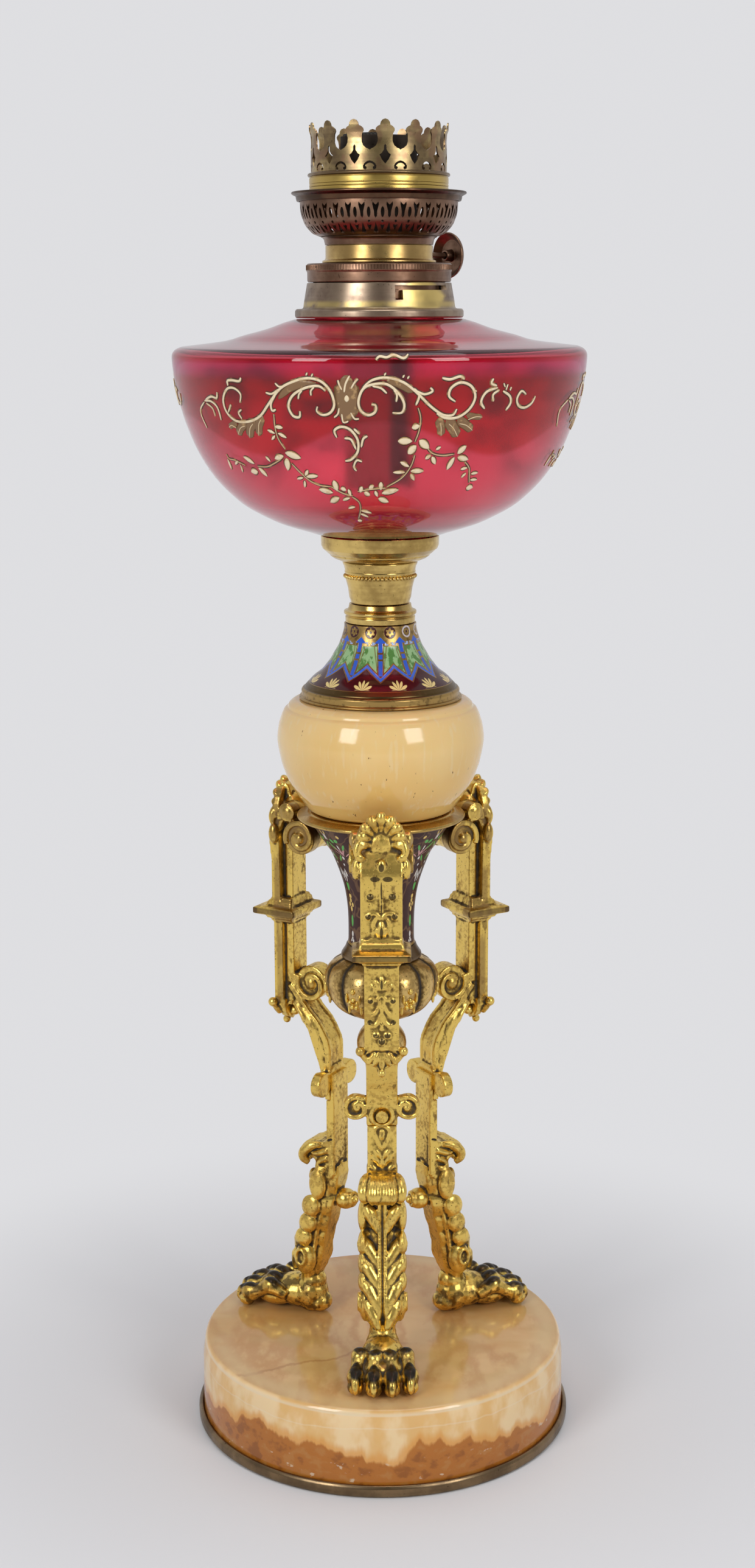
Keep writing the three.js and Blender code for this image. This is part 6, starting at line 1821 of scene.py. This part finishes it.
def wrapped(profile):
    """Wraps x, in millimetres at the front, and y, a height, onto a [radius, height] profile."""
    def place(x, y):
        for (r0, z0), (r1, z1) in zip(profile, profile[1:]):
            if y <= z1:
                break
        radius = r0 + (r1 - r0) * (y - z0) / (z1 - z0)
        turn = x / profile[-1][0]
        return radius * math.cos(turn), radius * math.sin(turn), y
    return place


def mirrored(points):
    return points + [(-x, y) for x, y in reversed(points) if abs(x) > TINY]


def moved(points, step):
    return [(x + step, y) for x, y in points]


def oval(x, y, half, tall, count):
    return [(x + half * u, y + tall * v) for u, v in circle(0, 0, 1, count)]


# %% Basket
BASKET_REPEATS = 36
basket_profile = through([
    (24.4, 567.6), (24.6, 568.8), (25.4, 570.6), (29.4, 572.4), (30.9, 573.6), (33.1, 576.2), (34.3, 578.9),
    (35.1, 581.5), (35.5, 585.5), (35.5, 588.9),
], 4)
half_pitch = math.pi * 35.5 / BASKET_REPEATS
frame_outline = [(-half_pitch, 571.4), (half_pitch, 571.4), (half_pitch, 588.9), (-half_pitch, 588.9)]
horns = mirrored([
    (0, 578.4), (0.62, 579.2), (0.72, 581.2), (1.45, 584.0), (1.3, 585.2), (0.6, 584.4), (0, 583.9),
])
tent = mirrored([(0, 576.6), (0.5, 575.0), (1.25, 572.4), (0, 572.2)])
almond = oval(0, 580.9, 0.85, 2.3, 10)
dot = oval(0, 577.0, 0.62, 0.62, 8)
heart = mirrored([(0, 573.4), (0.85, 574.7), (1.0, 575.7), (0, 575.4)])

# The tents and horns stand on one quarter line of the repeat, the ovals, dots and hearts on the other.
quarter = half_pitch / 2
openings = [moved(hole, -quarter) for hole in (horns, tent)]
openings += [moved(hole, quarter) for hole in (almond, dot, heart)]
basket_form = pierced_form(frame_outline, openings, wrapped(basket_profile), 0.8)
neck = [p for p in basket_profile if p[1] < 571.2] + [(25.9, 571.4)]
neck_in = [(r - 0.8, z) for r, z in neck]
neck_mesh = mesh_of(turned_form(neck + neck_in[::-1], reach=0.1), "neck")
sheet_piece("air_basket", basket_form, BASKET_REPEATS, 0.8, brown_brass, -90, neck_mesh)

# %% Shade ring
ring_outline = [
    (26.5, 589.2), (36, 589.2), (36, 586.6), (36.9, 586.6), (37.2, 587.6), (37.4, 588.8), (38.6, 589.4),
    (39.4, 589.9), (39.3, 590.6), (38.8, 590.8), (32.3, 590.8), (32.3, 590.3), (29.1, 590.3), (29.1, 590.8),
    (26.5, 590.8),
]
turned("shade_ring", ring_outline, ring_brown, "gallery", reach=0.25)

# %% [markdown]
# The crown's fourteen petals spring outwards, so that they can grip a glass chimney. Each has a kite-shaped
# hole, and between two petals a curled slot relieves the sheet.

# %% Crown: one petal
PETALS = 14
PETAL_TURN = 5.2  # degrees
crown_profile = [(30.4, 597), (30.4, 608), (30.2, 612), (30.5, 615.4), (31.2, 617.2), (31.4, 620.4)]
half_gap = math.pi * 31.4 / PETALS
petal_edge = [
    (0, 620.1), (1.2, 619.7), (2.0, 618.7), (2.3, 617.4), (3.3, 616.9), (4.2, 616.1), (4.35, 615.2),
    (3.6, 613.9), (3.35, 612.2), (3.4, 610.6), (4.1, 609.0), (5.4, 608.0), (6.3, 607.7), (half_gap, 607.1),
]
kite = mirrored([
    (0, 609.6), (0.55, 608.9), (0.6, 607.2), (1.5, 605.9), (2.6, 605.1), (2.1, 604.2), (1.5, 603.0),
    (0, 601.3),
])
half_slot = [
    (0, 602.7), (1.2, 602.4), (2.4, 601.6), (3.1, 600.5), (2.9, 599.3), (2.0, 598.9), (1.3, 599.4),
    (1.5, 600.2), (2.1, 600.3), (1.8, 600.9), (0.9, 601.5), (0, 601.7),
]
slot_edge = [(half_gap - u, z) for u, z in half_slot]
crown_edge = mirrored(petal_edge + slot_edge + [(half_gap, 597.4)])
petal_form = pierced_form(crown_edge, [kite], wrapped(crown_profile))
print("one petal:", len(petal_form.faces), "faces")

# %% Crown: band and finish
band_outline = [
    (29.6, 590.6), (31.2, 590.6), (31.2, 592.2), (31.0, 592.5), (31.2, 592.8), (31.2, 593.5), (31.0, 593.8),
    (31.2, 594.1), (31.2, 596.4), (30.9, 597.0), (31.7, 597.3), (32.0, 597.9), (31.7, 598.6), (30.6, 598.9),
    (29.6, 598.9),
]
band_mesh = mesh_of(turned_form(band_outline, reach=0.2), "band")
crown_brass = turned_metal("crown_brass", (0.50, 0.37, 0.17), (0.15, 0.10, 0.06), 0.26, 0.9)
crown_brass.layer((0.30, 0.17, 0.10), crown_brass.noise(9, 2, shift=(0.6, 0, 0)).over(0.55, 0.04) * 0.6)
crown_brass.layer((0.60, 0.42, 0.11), crown_brass.z.under(597, 0.3) * 0.9)
crown_brass.layer((0.17, 0.11, 0.06), crown_brass.z.near(598, 0.9, 0.2) * 0.8)
sheet_piece("crown", petal_form, PETALS, 0.6, crown_brass, -90 + PETAL_TURN, band_mesh)

# %% Outer wick tube
tube_outline = [(16.3, 544.5), (17.1, 544.5), (17.1, 614.5), (16.3, 614.5)]
turned("outer_wick_tube", tube_outline, sooty, "burner", reach=0.1)

# %% [markdown]
# The winder's knob is a thin dished disc on a short hub. It is turned about its own axis, the spindle's, and
# it rides on the winder.

# %% Winder knob
KNOB_FOOT = 54
knob_outline = [
    (0, 4), (1.65, 4), (1.65, 0), (2.4, 0), (2.8, 4.2), (7.2, 4.5), (9.2, 3.0), (10.4, 1.4), (10.8, 1.9),
    (10.2, 3.4), (7.8, 5.2), (2.8, 5.6), (0, 5.6),
]
knob = turned_form([(radius, KNOB_FOOT + level) for radius, level in knob_outline], 96, 0.3)
bmesh.ops.transform(knob, matrix=along_spindle, verts=knob.verts)
piece("winder_knob", mesh_of(knob, "winder_knob"), brown_brass, "winder", ("winder_knob",))

# %% [markdown]
# ## Hidden parts, floor and size
# Screws, washers, wheels, rods and tubes keep their solids and only get a finish. The wick is woven cotton,
# black where it has burnt.

# %% Finishes for the solids that stay
cotton = Finish("wick_cotton", (0.62, 0.56, 0.45), Roughness=0.95)
cotton.layer((0.05, 0.045, 0.04), (cotton.z + cotton.noise(3) * 2).over(614.5, 0.8))
cotton.relief((cotton.z * 5).cosine() * (cotton.angle * 60).cosine(), 0.15, 0.8)
frame_finishes = {
    "base_screw": steel, "base_washer": steel, "dish_screw": steel, "tie": steel, "bracket_screw": dark_steel,
    "winder": brown_brass, "draft": sooty, "leg": gilt, "bracket": gilt, "wick": cotton,
}
for name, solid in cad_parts.items():
    fitting = [finish for start, finish in frame_finishes.items() if name.startswith(start)]
    if fitting:
        solid.data.materials.clear()
        solid.data.materials.append(fitting[-1].material)
        print(name, "keeps its solid, in", fitting[-1].material.name)

# %% [markdown]
# The lamp stands on a pale paper floor, which fades into the background colour far from it, as in the photo.

# %% Floor
floor_form = bmesh.new()
bmesh.ops.create_grid(floor_form, x_segments=2, y_segments=2, size=6)
floor = placed("floor", mesh_of(floor_form, "floor"))
paper = Finish("floor_paper", (0.735, 0.735, 0.755), Roughness=0.9)
rays = node(paper.tree, "ShaderNodeLightPath")
camera, glossy, through_glass = (
    Field(paper.tree, rays.outputs[f"Is {kind} Ray"]) for kind in ("Camera", "Glossy", "Transmission")
)
shown = camera.most(glossy).most(through_glass)
far = paper.radius.over(260, 120)
glow = node(paper.tree, "ShaderNodeEmission", {"Color": BACKGROUND, "Strength": 1.0})
blend = node(
    paper.tree,
    "ShaderNodeMixShader",
    {0: (shown * far).socket, 1: paper.shader.outputs[0], 2: glow.outputs[0]},
)
paper.tree.links.new(blend.outputs[0], paper.tree.nodes["Material Output"].inputs["Surface"])
floor.data.materials.append(paper.material)
print("floor of", [round(side, 1) for side in floor.dimensions], "m")
